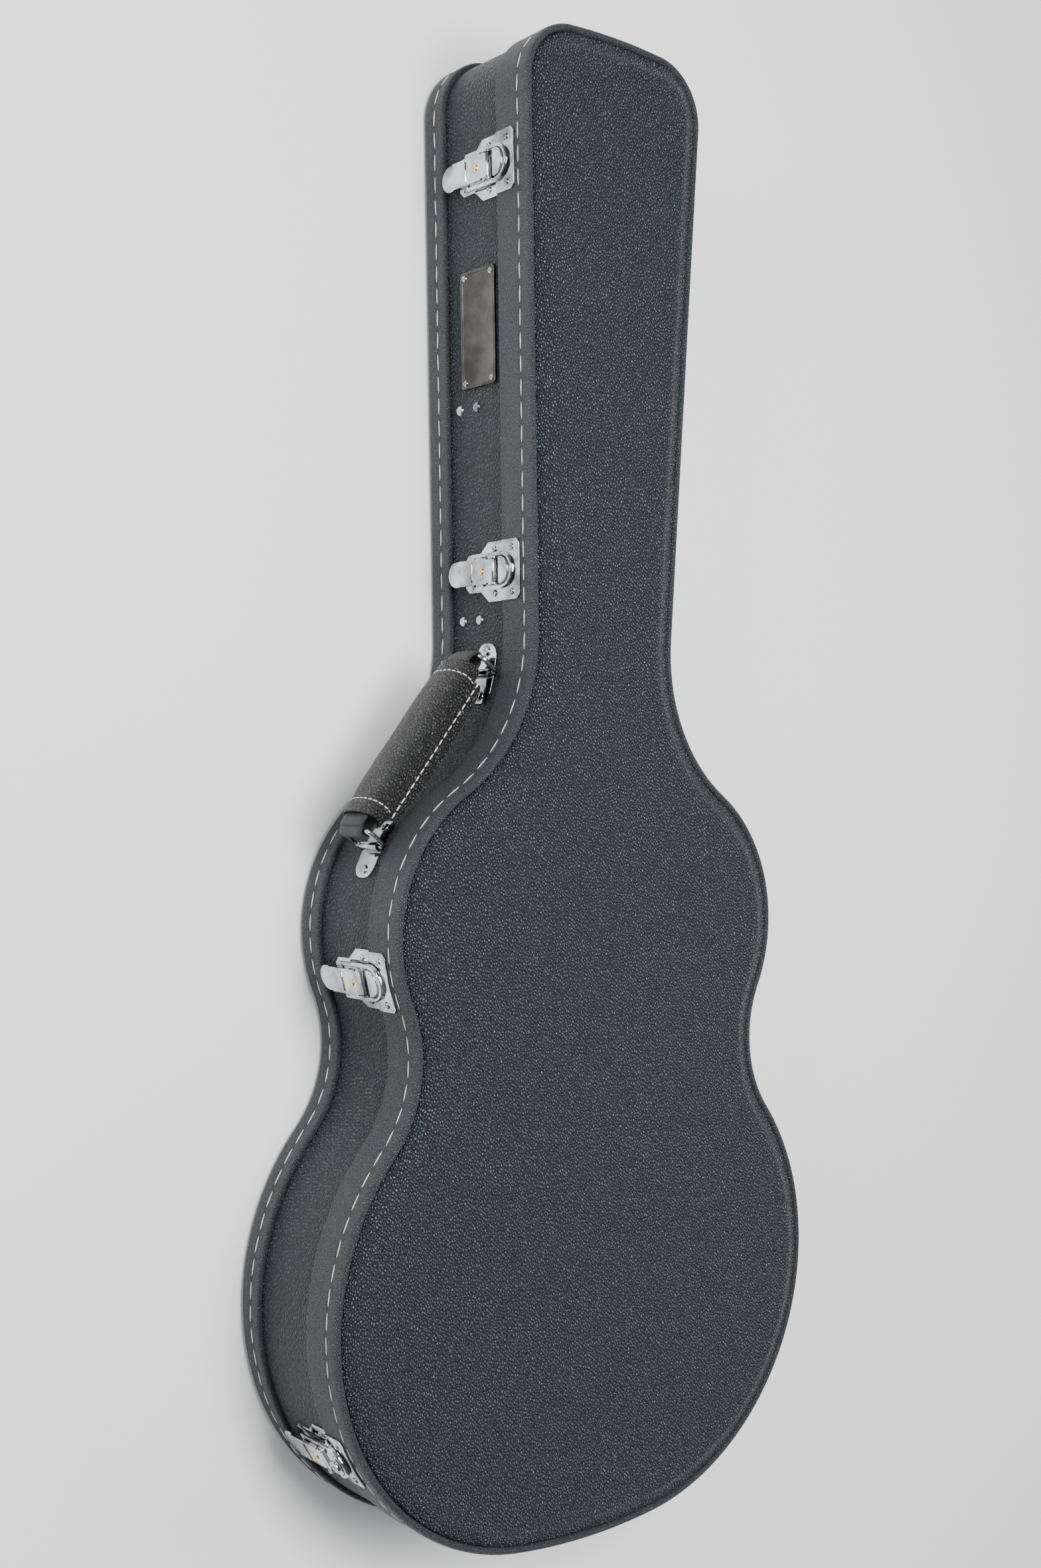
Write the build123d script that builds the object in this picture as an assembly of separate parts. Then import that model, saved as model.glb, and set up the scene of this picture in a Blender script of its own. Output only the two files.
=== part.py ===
from build123d import *

import os
from math import cos, degrees, radians, sin, sqrt

# A hard case for a classical guitar, lying on its back with the lid up.
# +Y runs to the head end, the latches and handle are on -X and the hinges on +X.
# The origin is on the centre line, half way along, on the plane that the back rests on.

# Plan of the plywood walls, measured on their outside
LENGTH = 1060.0
LOWER_BOUT_WIDTH = 435.0
UPPER_BOUT_WIDTH = 348.0
BOUT_SPACING = 256.0
NECK_WIDTH = 126.5
NECK_START_Y = 114.0
HEAD_WIDTH = 159.0
HEAD_WIDTH_Y = 486.0
BOTTOM_RADIUS = 485.0
LOWER_BOUT_RADIUS = 176.5
WAIST_RADIUS = 92.0
UPPER_BOUT_RADIUS = 113.0
SHOULDER_RADIUS = 128.0
HEAD_CORNER_RADIUS = 40.5
HEAD_END_RADIUS = 535.0

# Heights above the resting plane
BACK_PANEL_THICKNESS = 5.0
BACK_BAND_TOP = 24.0
PARTING_HEIGHT = 83.0
LID_RIM_TOP = 118.0
LID_PANEL_TOP = 122.5

# A rounded edge is cut at 45 degrees by this share of its radius, and cuts run past by CUT_PAST
EDGE_SHARE = 0.586
CUT_PAST = 1.0

# Walls, bands and panels
WALL_THICKNESS = 5.0
PARTING_GAP = 0.3
BACK_BAND_THICKNESS = 3.6
BACK_BAND_UNDERSIDE = 1.0
BACK_BAND_CORNER = 4.5
BACK_BAND_ROLL = 1.6
LID_BAND_THICKNESS = 2.5
LID_ROLL_WIDTH = 5.3
LID_ROLL_RADIUS = 2.4
GROOVE_GAP = 0.3
LID_PANEL_THICKNESS = 10.5
LID_PANEL_EDGE = 7.0
BACK_PANEL_EDGE = 2.5

# Padding and its clearance from whatever it lies against
SOFT_GAP = 0.3
BODY_PAD_SIDE = 11.0
BODY_PAD_FLOOR = 10.0
BODY_PAD_TOP = 77.0
PAD_EDGE = 5.0
LID_PAD_SIDE = 8.0
LID_PAD_DEPTH = 8.0
LID_PAD_RISE = 1.0

# Cross walls that hold the neck and close the accessory compartment
LOWER_DIVIDER_Y = 124.0
UPPER_DIVIDER_Y = 274.5
DIVIDER_THICKNESS = 12.0
DIVIDER_TOP = 76.0
NECK_NOTCH_WIDTH = 62.0
NECK_NOTCH_DEPTH = 16.0
NECK_NOTCH_CORNER = 7.0
NECK_PAD_THICKNESS = 4.0
COMPARTMENT_FLOOR = 3.0
COMPARTMENT_LID_THICKNESS = 6.0
COMPARTMENT_LID_TOP = 55.0
COMPARTMENT_LID_GAP = 1.5
PULL_TAB_WIDTH = 22.0
PULL_TAB_LENGTH = 26.0
PULL_TAB_THICKNESS = 1.6
PULL_TAB_CORNER = 9.9
PULL_TAB_INSET = 1.0
STRIP_HINGE_LENGTH = 84.0
STRIP_HINGE_LEAF = 11.0
STRIP_HINGE_SHEET = 1.0
STRIP_HINGE_KNUCKLE_RADIUS = 2.0
STRIP_HINGE_PIN_RADIUS = 0.9
STRIP_HINGE_KNUCKLES = 5
STRIP_HINGE_KNUCKLE_GAP = 0.4
STRIP_HINGE_WEB = 2.0

# Hinges on the straight line that touches both bouts
HINGE_OFFSETS = (-26.0, 26.0)
HINGE_WIDTH = 38.0
HINGE_LEAF_LENGTH = 26.0
HINGE_SHEET = 1.3
HINGE_KNUCKLE_RADIUS = 3.2
HINGE_PIN_RADIUS = 1.5
HINGE_PIN_GAP = 0.05
HINGE_KNUCKLE_GAP = 0.4
HINGE_CLEARANCE = 0.5
HINGE_CORNER = 5.0
HINGE_LEAF_START = 0.2
HINGE_PIN_END = 0.4

# Draw latches. Along is measured up from the parting line and out from the wall.
LATCH_SHEET = 1.0
LATCH_WIDTH = 42.0
LATCH_NARROW_WIDTH = 27.0
LATCH_BASE_LENGTH = 43.0
LATCH_BASE_SHOULDER = 17.0
LATCH_BASE_WAIST = 26.0
LATCH_BASE_CORNER = 4.0
LATCH_EDGE_GAP = 0.6
PIVOT_ALONG = -6.0
PIVOT_OUT = 5.8
PIN_RADIUS = 1.2
PIN_GAP = 0.06
BARREL_RADIUS = 2.5
EAR_RADIUS = 3.6
EAR_SHEET = 1.3
EAR_FOOT = 0.3
EAR_SIDE_GAP = 0.3
LATCH_CUT = 9.0
LEVER_WIDTH = 18.0
LEVER_END = -42.0
LEVER_TOP_OUT = 8.2
LEVER_SIDE_DROP = 5.0
LEVER_SHEET = 1.2
LEVER_FRONT = -11.5
LEVER_FRONT_WIDTH = 16.4
TAB_LENGTH = 12.5
TAB_DROP = 1.4
BEAD_ALONG = -27.5
BEAD_RADIUS = 1.1
BEAD_INSET = 2.0
LOOP_PIVOT_ALONG = -28.5
LOOP_PIVOT_OUT = 5.05
LOOP_PIN_RADIUS = 1.3
LOOP_WIDTH = 26.0
LOOP_LEG = 2.6
LOOP_SHEET = 1.5
LOOP_END = 15.5
LOOP_END_RADIUS = 1.5
LOOP_END_OUT = 5.3
LOOP_CORNER = 1.2
LOOP_EDGE = 0.7
LOOP_PIN_RECESS = 0.1
CATCH_LENGTH = 20.0
CATCH_CORNER = 3.0
HUMP_GAP = 0.4
HUMP_OUT = 7.6
HUMP_EDGE = 1.2
BRASS_RIVET_ALONG = -16.5
BRASS_RIVET_RADIUS = 2.7
BRASS_RIVET_HEIGHT = 1.0
BRASS_RIVET_SHANK = 1.0
LATCH_RIVET_OFFSET = 15.3
BASE_RIVET_ALONG = -9.8
CATCH_RIVET_ALONG = 12.0
LOCK_RADIUS = 4.6
LOCK_OUT = 9.4
LOCK_STEP = 3.4
LOCK_EDGE = 0.4
KEYWAY_WIDTH = 1.2
KEYWAY_LENGTH = 4.4
KEYWAY_DEPTH = 0.8

# Rivets and screws
RIVET_RADIUS = 2.4
RIVET_HEIGHT = 1.3
RIVET_SHANK = 1.4
RIVET_REACH = 4.0
RIVET_SEAT = 0.05
SCREW_RADIUS = 2.9
SCREW_HEIGHT = 1.6
SCREW_SHANK = 1.6
SCREW_REACH = 14.0
BRACKET_SCREW_REACH = 5.0
DIVIDER_SCREW_HEIGHTS = (35.0, 54.0)
HEAD_TAPER = 40.0
HEAD_SIDES = 12
SHANK_SIDES = 8

# Bare name plate on the neck
PLATE_LENGTH = 82.0
PLATE_WIDTH = 38.0
PLATE_Y = 329.0
PLATE_HEIGHT = 58.5
PLATE_SHEET = 1.2
PLATE_RIM = 2.2
PLATE_RIM_HEIGHT = 0.6
PLATE_CORNER = 2.0
PLATE_RIVET_INSET = 4.2

# Handle in the hollow of the shoulder
BRACKET_HEIGHT = 64.0
BRACKET_LENGTH = 44.0
BRACKET_WIDTH = 21.0
BRACKET_SHEET = 1.3
BRACKET_CORNER = 8.8
BRACKET_SCREW_OFFSET = 16.5
UPPER_BRACKET_ANGLE = 10.5
LOWER_BRACKET_ANGLE = 30.0
RING_WIRE_RADIUS = 1.75
RING_LENGTH = 17.0
RING_WIDTH = 34.0
RING_CORNER = 4.0
RING_SIDES = 12
RING_BAR_OUT = 3.6
RING_GAP = 0.12
TUNNEL_SHEET = 1.2
TUNNEL_LENGTH = 19.0
TUNNEL_FOOT = 0.6
GRIP_LENGTH = 122.0
GRIP_WIDTH = 40.0
GRIP_THICKNESS = 19.0
GRIP_END_TAPER = 0.86
GRIP_CORNER = 0.27
WEBBING_WIDTH = 27.0
WEBBING_SHEET = 3.2

# Domed feet that the closed case stands on, hinge side down
FOOT_RADIUS = 8.0
FOOT_REACH = 12.0
FOOT_ROOT = 8.0
FOOT_DOME = 2.5
FOOT_LEVEL = 34.0
LOWER_FOOT_SPACING = 72.0
UPPER_FOOT_SPACING = 48.0

# Places of the latches along the wall
HEAD_LATCH_Y = 436.0
NECK_LATCH_Y = 157.0
UPPER_LATCH_ANGLE = -16.0
LOWER_LATCH_ANGLE = -31.0


def meet(centre_a, radius_a, centre_b, radius_b):
    """The point at both distances from the two centres that lies furthest to +X."""
    span = centre_b - centre_a
    along = (radius_a**2 - radius_b**2 + span.length**2) / (2 * span.length)
    across = sqrt(radius_a**2 - along**2)
    middle = centre_a + span.normalized() * along
    side = Vector(-span.Y, span.X).normalized() * across
    return max(middle + side, middle - side, key=lambda point: point.X)


def far_along(start, direction, centre, radius):
    """The further of the two points of a line that lie at radius from centre."""
    across = start - centre
    half = across.dot(direction)
    return start + direction * (-half + sqrt(half**2 - across.length**2 + radius**2))


# Centres of the plan's arcs on the right half
LOWER_X = LOWER_BOUT_WIDTH / 2 - LOWER_BOUT_RADIUS
BOTTOM_CENTRE = Vector(0, BOTTOM_RADIUS - LENGTH / 2)
LOWER_CENTRE = Vector(
    LOWER_X, BOTTOM_CENTRE.Y - sqrt((BOTTOM_RADIUS - LOWER_BOUT_RADIUS)**2 - LOWER_X**2)
)
UPPER_CENTRE = Vector(UPPER_BOUT_WIDTH / 2 - UPPER_BOUT_RADIUS, LOWER_CENTRE.Y + BOUT_SPACING)
WAIST_CENTRE = meet(
    LOWER_CENTRE, LOWER_BOUT_RADIUS + WAIST_RADIUS, UPPER_CENTRE, UPPER_BOUT_RADIUS + WAIST_RADIUS
)
NECK_FOOT = Vector(NECK_WIDTH / 2, NECK_START_Y)
NECK_RUN = (Vector(HEAD_WIDTH / 2, HEAD_WIDTH_Y) - NECK_FOOT).normalized()
NECK_OUT = Vector(NECK_RUN.Y, -NECK_RUN.X)
SHOULDER_CENTRE = far_along(
    NECK_FOOT + NECK_OUT * SHOULDER_RADIUS, NECK_RUN, UPPER_CENTRE, UPPER_BOUT_RADIUS + SHOULDER_RADIUS
)
END_CENTRE = Vector(0, LENGTH / 2 - HEAD_END_RADIUS)
CORNER_CENTRE = far_along(
    NECK_FOOT - NECK_OUT * HEAD_CORNER_RADIUS, NECK_RUN, END_CENTRE, HEAD_END_RADIUS - HEAD_CORNER_RADIUS
)

# Points where the arcs touch
BOTTOM_TOUCH = LOWER_CENTRE + (LOWER_CENTRE - BOTTOM_CENTRE).normalized() * LOWER_BOUT_RADIUS
LOWER_TOUCH = LOWER_CENTRE + (WAIST_CENTRE - LOWER_CENTRE).normalized() * LOWER_BOUT_RADIUS
UPPER_TOUCH = UPPER_CENTRE + (WAIST_CENTRE - UPPER_CENTRE).normalized() * UPPER_BOUT_RADIUS
SHOULDER_TOUCH = UPPER_CENTRE + (SHOULDER_CENTRE - UPPER_CENTRE).normalized() * UPPER_BOUT_RADIUS
NECK_TOUCH = SHOULDER_CENTRE - NECK_OUT * SHOULDER_RADIUS
CORNER_TOUCH = CORNER_CENTRE + NECK_OUT * HEAD_CORNER_RADIUS
END_TOUCH = CORNER_CENTRE + (CORNER_CENTRE - END_CENTRE).normalized() * HEAD_CORNER_RADIUS


def mirrored(point):
    """The same point on the other side of the centre line."""
    return Vector(-point.X, point.Y)


def arc(centre, start, finish, grow, hollow=False):
    """An arc of the plan, moved outward by grow along its own radius."""
    step = -grow if hollow else grow
    radius = (start - centre).length + step
    ways = [(start - centre).normalized(), (finish - centre).normalized()]
    middle = (ways[0] + ways[1]).normalized()
    return ThreePointArc(centre + ways[0] * radius, centre + middle * radius, centre + ways[1] * radius)


def outline(grow=0.0):
    """The plan of the walls as a face, moved outward by grow."""
    right = [
        arc(LOWER_CENTRE, BOTTOM_TOUCH, LOWER_TOUCH, grow),
        arc(WAIST_CENTRE, LOWER_TOUCH, UPPER_TOUCH, grow, hollow=True),
        arc(UPPER_CENTRE, UPPER_TOUCH, SHOULDER_TOUCH, grow),
        arc(SHOULDER_CENTRE, SHOULDER_TOUCH, NECK_TOUCH, grow, hollow=True),
        Line(NECK_TOUCH + NECK_OUT * grow, CORNER_TOUCH + NECK_OUT * grow),
        arc(CORNER_CENTRE, CORNER_TOUCH, END_TOUCH, grow),
    ]
    left = [edge.mirror(Plane.YZ) for edge in right]
    ends = [
        arc(BOTTOM_CENTRE, mirrored(BOTTOM_TOUCH), BOTTOM_TOUCH, grow),
        arc(END_CENTRE, END_TOUCH, mirrored(END_TOUCH), grow),
    ]
    return Face(Wire(right + ends + left))


def slab(grow, bottom, top):
    """The plan, moved outward by grow, between two heights."""
    return extrude(Pos(0, 0, bottom) * outline(grow), top - bottom)


def edges_at(shape, height, inside=None):
    """Edges of shape in the plane at height, only those inside the given plan if there is one."""
    level = [edge for edge in shape.edges() if abs(edge.center().Z - height) < 1e-4
             and edge.bounding_box().size.Z < 1e-4]
    if inside is None:
        return level
    return [edge for edge in level if inside.is_inside(Vector(*tuple(edge @ 0.5)[:2], 0))]


def eased(edges, radius):
    """The solid with these edges cut at 45 degrees in place of a round of this radius."""
    return chamfer(edges, radius * EDGE_SHARE)


def skin(profile, inner, outer):
    """A sheet that hugs the wall between two offsets, cut to a profile prism that crosses it."""
    box = profile.bounding_box()
    low, high = box.min.Z - CUT_PAST, box.max.Z + CUT_PAST
    sheet = slab(outer, low, high) - slab(inner, low - CUT_PAST, high + CUT_PAST)
    return (profile & sheet).solids().sort_by(SortBy.VOLUME)[-1]


def seat(point, outward, height):
    """A frame on the wall: x along the wall, y up, z out of the wall."""
    return Plane(
        origin=(point.X, point.Y, height), x_dir=Vector(0, 0, 1).cross(outward), z_dir=outward
    ).location


def on_arc(centre, radius, angle, hollow=False):
    """A place on the left wall at an angle round one of the plan's arcs."""
    way = Vector(cos(radians(angle)), sin(radians(angle)))
    if hollow:
        return mirrored(centre - way * radius), mirrored(way)
    return mirrored(centre + way * radius), mirrored(way)


def on_neck(y):
    """A place on the left neck wall."""
    point = NECK_TOUCH + NECK_RUN * ((y - NECK_TOUCH.Y) / NECK_RUN.Y)
    return mirrored(point), mirrored(NECK_OUT)


def prism(sketch, bottom, top):
    """A flat sketch in the local plane, raised between two levels."""
    return extrude(Pos(0, 0, bottom) * sketch, top - bottom)


def rod(start, finish, radius):
    """A round bar between two points."""
    way = Vector(*finish) - Vector(*start)
    return extrude(Plane(origin=start, z_dir=way) * Circle(radius), way.length)


def rivet(radius, height, shank, reach):
    """A rivet or screw whose faceted head stands on z = 0 and whose shank runs down."""
    head = extrude(RegularPolygon(radius, HEAD_SIDES), height, taper=HEAD_TAPER)
    return head + extrude(RegularPolygon(shank, SHANK_SIDES), -reach)


def cross_rod(place, half, along, out, radius):
    """A round bar along the local x axis, from -half to half."""
    return place * rod((-half, along, out), (half, along, out), radius)


def body_wall():
    """Plywood wall of the body, standing on the back panel."""
    top = PARTING_HEIGHT - PARTING_GAP / 2
    hollow = slab(-WALL_THICKNESS, BACK_PANEL_THICKNESS - CUT_PAST, top + CUT_PAST)
    return slab(0, BACK_PANEL_THICKNESS, top) - hollow


def back_panel():
    """Flat back, with its edge eased down into the groove beside the band."""
    panel = slab(BACK_BAND_THICKNESS - LID_ROLL_WIDTH - GROOVE_GAP, 0, BACK_PANEL_THICKNESS)
    return eased(edges_at(panel, 0), BACK_PANEL_EDGE)


def back_band():
    """Binding round the back edge, rolled over the corner and at its front edge."""
    band = slab(BACK_BAND_THICKNESS, BACK_BAND_UNDERSIDE, BACK_BAND_TOP)
    band = eased(edges_at(band, BACK_BAND_UNDERSIDE), BACK_BAND_CORNER)
    band = eased(edges_at(band, BACK_BAND_TOP), BACK_BAND_ROLL)
    band -= slab(0, BACK_PANEL_THICKNESS, BACK_BAND_TOP + CUT_PAST)
    return band - slab(BACK_BAND_THICKNESS - LID_ROLL_WIDTH, 0, BACK_PANEL_THICKNESS)


def lid_wall():
    """Plywood wall of the lid."""
    bottom = PARTING_HEIGHT + PARTING_GAP / 2
    top = LID_PANEL_TOP - LID_PANEL_THICKNESS
    return slab(0, bottom, top) - slab(-WALL_THICKNESS, bottom - CUT_PAST, top + CUT_PAST)


def lid_band():
    """Binding over the whole side of the lid, ending in the roll round the panel."""
    seat_height = LID_PANEL_TOP - LID_PANEL_THICKNESS
    inner = LID_BAND_THICKNESS - LID_ROLL_WIDTH
    band = slab(LID_BAND_THICKNESS, PARTING_HEIGHT + PARTING_GAP / 2, LID_RIM_TOP)
    band = eased(edges_at(band, LID_RIM_TOP), LID_ROLL_RADIUS)
    band -= slab(0, PARTING_HEIGHT - CUT_PAST, seat_height)
    band -= slab(inner, seat_height - CUT_PAST, LID_RIM_TOP + CUT_PAST)
    middle = outline(inner + LID_ROLL_WIDTH / 4)
    return eased(edges_at(band, LID_RIM_TOP, inside=middle), LID_ROLL_RADIUS)


def lid_panel():
    """Padded lid panel with an eased edge inside the roll."""
    edge = LID_BAND_THICKNESS - LID_ROLL_WIDTH - GROOVE_GAP
    panel = slab(edge, LID_PANEL_TOP - LID_PANEL_THICKNESS, LID_PANEL_TOP)
    return eased(edges_at(panel, LID_PANEL_TOP), LID_PANEL_EDGE)


def between(shape, low, high):
    """The part of shape between two values of y."""
    return shape & Pos(0, (low + high) / 2, 0) * Box(2 * LENGTH, high - low, LENGTH)


def tub_lining(low, high):
    """Plush-covered padding on the floor and sides of the body, over a stretch of y."""
    floor = BACK_PANEL_THICKNESS + SOFT_GAP
    inner = -WALL_THICKNESS - SOFT_GAP - BODY_PAD_SIDE
    tub = between(slab(-WALL_THICKNESS - SOFT_GAP, floor, BODY_PAD_TOP), low, high)
    well = between(
        slab(inner, floor + BODY_PAD_FLOOR, BODY_PAD_TOP + CUT_PAST),
        low if low < -LENGTH / 2 else low - CUT_PAST,
        high if high > LENGTH / 2 else high + CUT_PAST,
    )
    tub -= well
    rim = edges_at(tub, BODY_PAD_TOP, inside=outline(inner + BODY_PAD_SIDE / 2))
    rim = [edge for edge in rim if low + CUT_PAST < edge.center().Y < high - CUT_PAST]
    return eased(rim, PAD_EDGE)


def lid_lining():
    """Plush-covered padding inside the lid."""
    top = LID_PANEL_TOP - LID_PANEL_THICKNESS - SOFT_GAP
    bottom = PARTING_HEIGHT + PARTING_GAP / 2 + LID_PAD_RISE
    inner = -WALL_THICKNESS - SOFT_GAP - LID_PAD_SIDE
    pad = slab(-WALL_THICKNESS - SOFT_GAP, bottom, top)
    pad -= slab(inner, bottom - CUT_PAST, top - LID_PAD_DEPTH)
    return eased(edges_at(pad, bottom, inside=outline(inner + LID_PAD_SIDE / 2)), PAD_EDGE)


def notch_block(y, thickness, inset, corner):
    """A block that fills a neck notch, drawn in by inset and rounded at its lower corners."""
    block = Box(NECK_NOTCH_WIDTH - 2 * inset, thickness, 2 * (NECK_NOTCH_DEPTH - inset))
    return Pos(0, y, DIVIDER_TOP) * fillet(block.edges().filter_by(Axis.Y).group_by(Axis.Z)[0], corner)


def divider(y):
    """Cross wall from side to side, with a rounded notch for the neck."""
    half = DIVIDER_THICKNESS / 2
    wall = between(slab(-WALL_THICKNESS, BACK_PANEL_THICKNESS, DIVIDER_TOP), y - half, y + half)
    return wall - notch_block(y, 2 * DIVIDER_THICKNESS, 0, NECK_NOTCH_CORNER)


def neck_pad(y):
    """Felt strip that lines the notch of a cross wall."""
    corner = NECK_NOTCH_CORNER - NECK_PAD_THICKNESS / 2
    pad = notch_block(y, DIVIDER_THICKNESS, SOFT_GAP, NECK_NOTCH_CORNER)
    pad -= notch_block(y, 2 * DIVIDER_THICKNESS, SOFT_GAP + NECK_PAD_THICKNESS, corner)
    return pad & Pos(0, y, DIVIDER_TOP - NECK_NOTCH_DEPTH) * Box(
        NECK_NOTCH_WIDTH, 2 * DIVIDER_THICKNESS, 2 * NECK_NOTCH_DEPTH
    )


# Compartment between the cross walls
COMPARTMENT_LOW = LOWER_DIVIDER_Y + DIVIDER_THICKNESS / 2
COMPARTMENT_HIGH = UPPER_DIVIDER_Y - DIVIDER_THICKNESS / 2
STRIP_AXIS_Y = COMPARTMENT_HIGH - STRIP_HINGE_KNUCKLE_RADIUS - SOFT_GAP
STRIP_AXIS_Z = COMPARTMENT_LID_TOP + STRIP_HINGE_KNUCKLE_RADIUS


def compartment_floor():
    """Covered board on the floor of the compartment."""
    bottom = BACK_PANEL_THICKNESS + SOFT_GAP
    board = slab(-WALL_THICKNESS - SOFT_GAP, bottom, bottom + COMPARTMENT_FLOOR)
    return between(board, COMPARTMENT_LOW + SOFT_GAP, COMPARTMENT_HIGH - SOFT_GAP)


def compartment_lid():
    """Covered lid between the cross walls."""
    underside = COMPARTMENT_LID_TOP - COMPARTMENT_LID_THICKNESS
    board = slab(-WALL_THICKNESS - COMPARTMENT_LID_GAP, underside, COMPARTMENT_LID_TOP)
    end = COMPARTMENT_HIGH - STRIP_HINGE_SHEET - COMPARTMENT_LID_GAP
    return between(board, COMPARTMENT_LOW + COMPARTMENT_LID_GAP, end)


def pull_tab():
    """Leather tab near the free edge of the compartment lid."""
    low = COMPARTMENT_LOW + COMPARTMENT_LID_GAP + PULL_TAB_INSET
    plan = Rectangle(PULL_TAB_WIDTH, PULL_TAB_LENGTH)
    plan = fillet(plan.vertices().group_by(Axis.Y)[-1], PULL_TAB_CORNER)
    tab = prism(plan, COMPARTMENT_LID_TOP, COMPARTMENT_LID_TOP + PULL_TAB_THICKNESS)
    return Pos(0, low + PULL_TAB_LENGTH / 2, 0) * tab


STRIP_PLACE = Pos(0, STRIP_AXIS_Y, STRIP_AXIS_Z)


def strip_leaf(first, lies_flat):
    """One leaf of the strip hinge, with every second barrel from the one numbered first."""
    sheet = STRIP_HINGE_SHEET
    radius = STRIP_HINGE_KNUCKLE_RADIUS
    pitch = STRIP_HINGE_LENGTH / STRIP_HINGE_KNUCKLES
    width = pitch - STRIP_HINGE_KNUCKLE_GAP
    if lies_flat:
        leaf = Pos(0, STRIP_AXIS_Y - radius - STRIP_HINGE_LEAF / 2, COMPARTMENT_LID_TOP + sheet / 2)
        leaf *= Box(STRIP_HINGE_LENGTH, STRIP_HINGE_LEAF, sheet)
        web = Pos(0, STRIP_AXIS_Y - (radius + STRIP_HINGE_WEB) / 2, COMPARTMENT_LID_TOP + sheet / 2)
        web *= Box(width, radius + STRIP_HINGE_WEB, sheet)
    else:
        leaf = Pos(0, COMPARTMENT_HIGH - sheet / 2, COMPARTMENT_LID_TOP - STRIP_HINGE_LEAF / 2)
        leaf *= Box(STRIP_HINGE_LENGTH, sheet, STRIP_HINGE_LEAF)
        web = Pos(0, COMPARTMENT_HIGH - sheet / 2, STRIP_AXIS_Z - (radius + STRIP_HINGE_WEB) / 2)
        web *= Box(width, sheet, radius + STRIP_HINGE_WEB)
    knuckle = cross_rod(STRIP_PLACE, width / 2, 0, 0, radius) + web
    for index in range(first, STRIP_HINGE_KNUCKLES, 2):
        leaf += Pos((index + 0.5) * pitch - STRIP_HINGE_LENGTH / 2, 0, 0) * knuckle
    return leaf - cross_rod(STRIP_PLACE, STRIP_HINGE_LENGTH, 0, 0, STRIP_HINGE_PIN_RADIUS + HINGE_PIN_GAP)


def strip_pin():
    """Wire through the barrels of the strip hinge."""
    return cross_rod(STRIP_PLACE, STRIP_HINGE_LENGTH / 2, 0, 0, STRIP_HINGE_PIN_RADIUS)


# The straight line on +X that touches both bouts, and the hinge axis beside it
BOUT_SPAN = UPPER_CENTRE - LOWER_CENTRE
TURN = (LOWER_BOUT_RADIUS - UPPER_BOUT_RADIUS) / BOUT_SPAN.length
HINGE_OUT = (
    BOUT_SPAN.normalized() * TURN + Vector(BOUT_SPAN.Y, -BOUT_SPAN.X).normalized() * sqrt(1 - TURN**2)
)
HINGE_RUN = Vector(-HINGE_OUT.Y, HINGE_OUT.X)
LOWER_TANGENT = LOWER_CENTRE + HINGE_OUT * LOWER_BOUT_RADIUS
UPPER_TANGENT = UPPER_CENTRE + HINGE_OUT * UPPER_BOUT_RADIUS
HINGE_AXIS_OUT = LID_BAND_THICKNESS + HINGE_CLEARANCE + HINGE_KNUCKLE_RADIUS
HINGE_POINTS = [LOWER_TANGENT + HINGE_RUN * offset for offset in HINGE_OFFSETS] + [UPPER_TANGENT]
HINGE_PLACES = [seat(point, HINGE_OUT, PARTING_HEIGHT) for point in HINGE_POINTS]
HINGE_THIRD = HINGE_WIDTH / 3
RIVET_ROW = HINGE_KNUCKLE_RADIUS + HINGE_LEAF_LENGTH / 2


def hinge_leaf(place, side):
    """A leaf that hugs the wall below (side -1) or above (side 1) the parting line."""
    grow = 0.0 if side < 0 else LID_BAND_THICKNESS
    near = HINGE_KNUCKLE_RADIUS + HINGE_LEAF_START
    far = near + HINGE_LEAF_LENGTH
    leaf = Pos(0, side * (near + far) / 2) * RectangleRounded(HINGE_WIDTH, HINGE_LEAF_LENGTH, HINGE_CORNER)
    leaf += Pos(0, side * (near + HINGE_CORNER)) * Rectangle(HINGE_WIDTH, 2 * HINGE_CORNER)
    inner = HINGE_THIRD / 2 - HINGE_KNUCKLE_GAP
    if side < 0:
        spans = [(-HINGE_WIDTH / 2, -HINGE_THIRD / 2), (HINGE_THIRD / 2, HINGE_WIDTH / 2)]
    else:
        spans = [(-inner, inner)]
    low = HINGE_KNUCKLE_RADIUS - HINGE_SHEET
    for start, finish in spans:
        leaf += Pos((start + finish) / 2, side * (low + near) / 2) * Rectangle(
            finish - start, near - low + HINGE_LEAF_START
        )
    whole = skin(place * prism(leaf, -2 * HINGE_KNUCKLE_RADIUS, HINGE_AXIS_OUT), grow, grow + HINGE_SHEET)
    wall = slab(grow, PARTING_HEIGHT - HINGE_LEAF_LENGTH, PARTING_HEIGHT + HINGE_LEAF_LENGTH)
    for start, finish in spans:
        barrel = rod((start, 0, HINGE_AXIS_OUT), (finish, 0, HINGE_AXIS_OUT), HINGE_KNUCKLE_RADIUS)
        web = Pos((start + finish) / 2, side * (low + HINGE_SHEET / 2), 0) * Box(
            finish - start, HINGE_SHEET, 2 * HINGE_AXIS_OUT
        )
        whole += place * barrel + (place * web - wall)
    return whole - cross_rod(place, HINGE_WIDTH, 0, HINGE_AXIS_OUT, HINGE_PIN_RADIUS + HINGE_PIN_GAP)


def hinge_pin(place):
    """Pin through the three barrels of a hinge."""
    return cross_rod(place, HINGE_WIDTH / 2 + HINGE_PIN_END, 0, HINGE_AXIS_OUT, HINGE_PIN_RADIUS)


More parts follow.
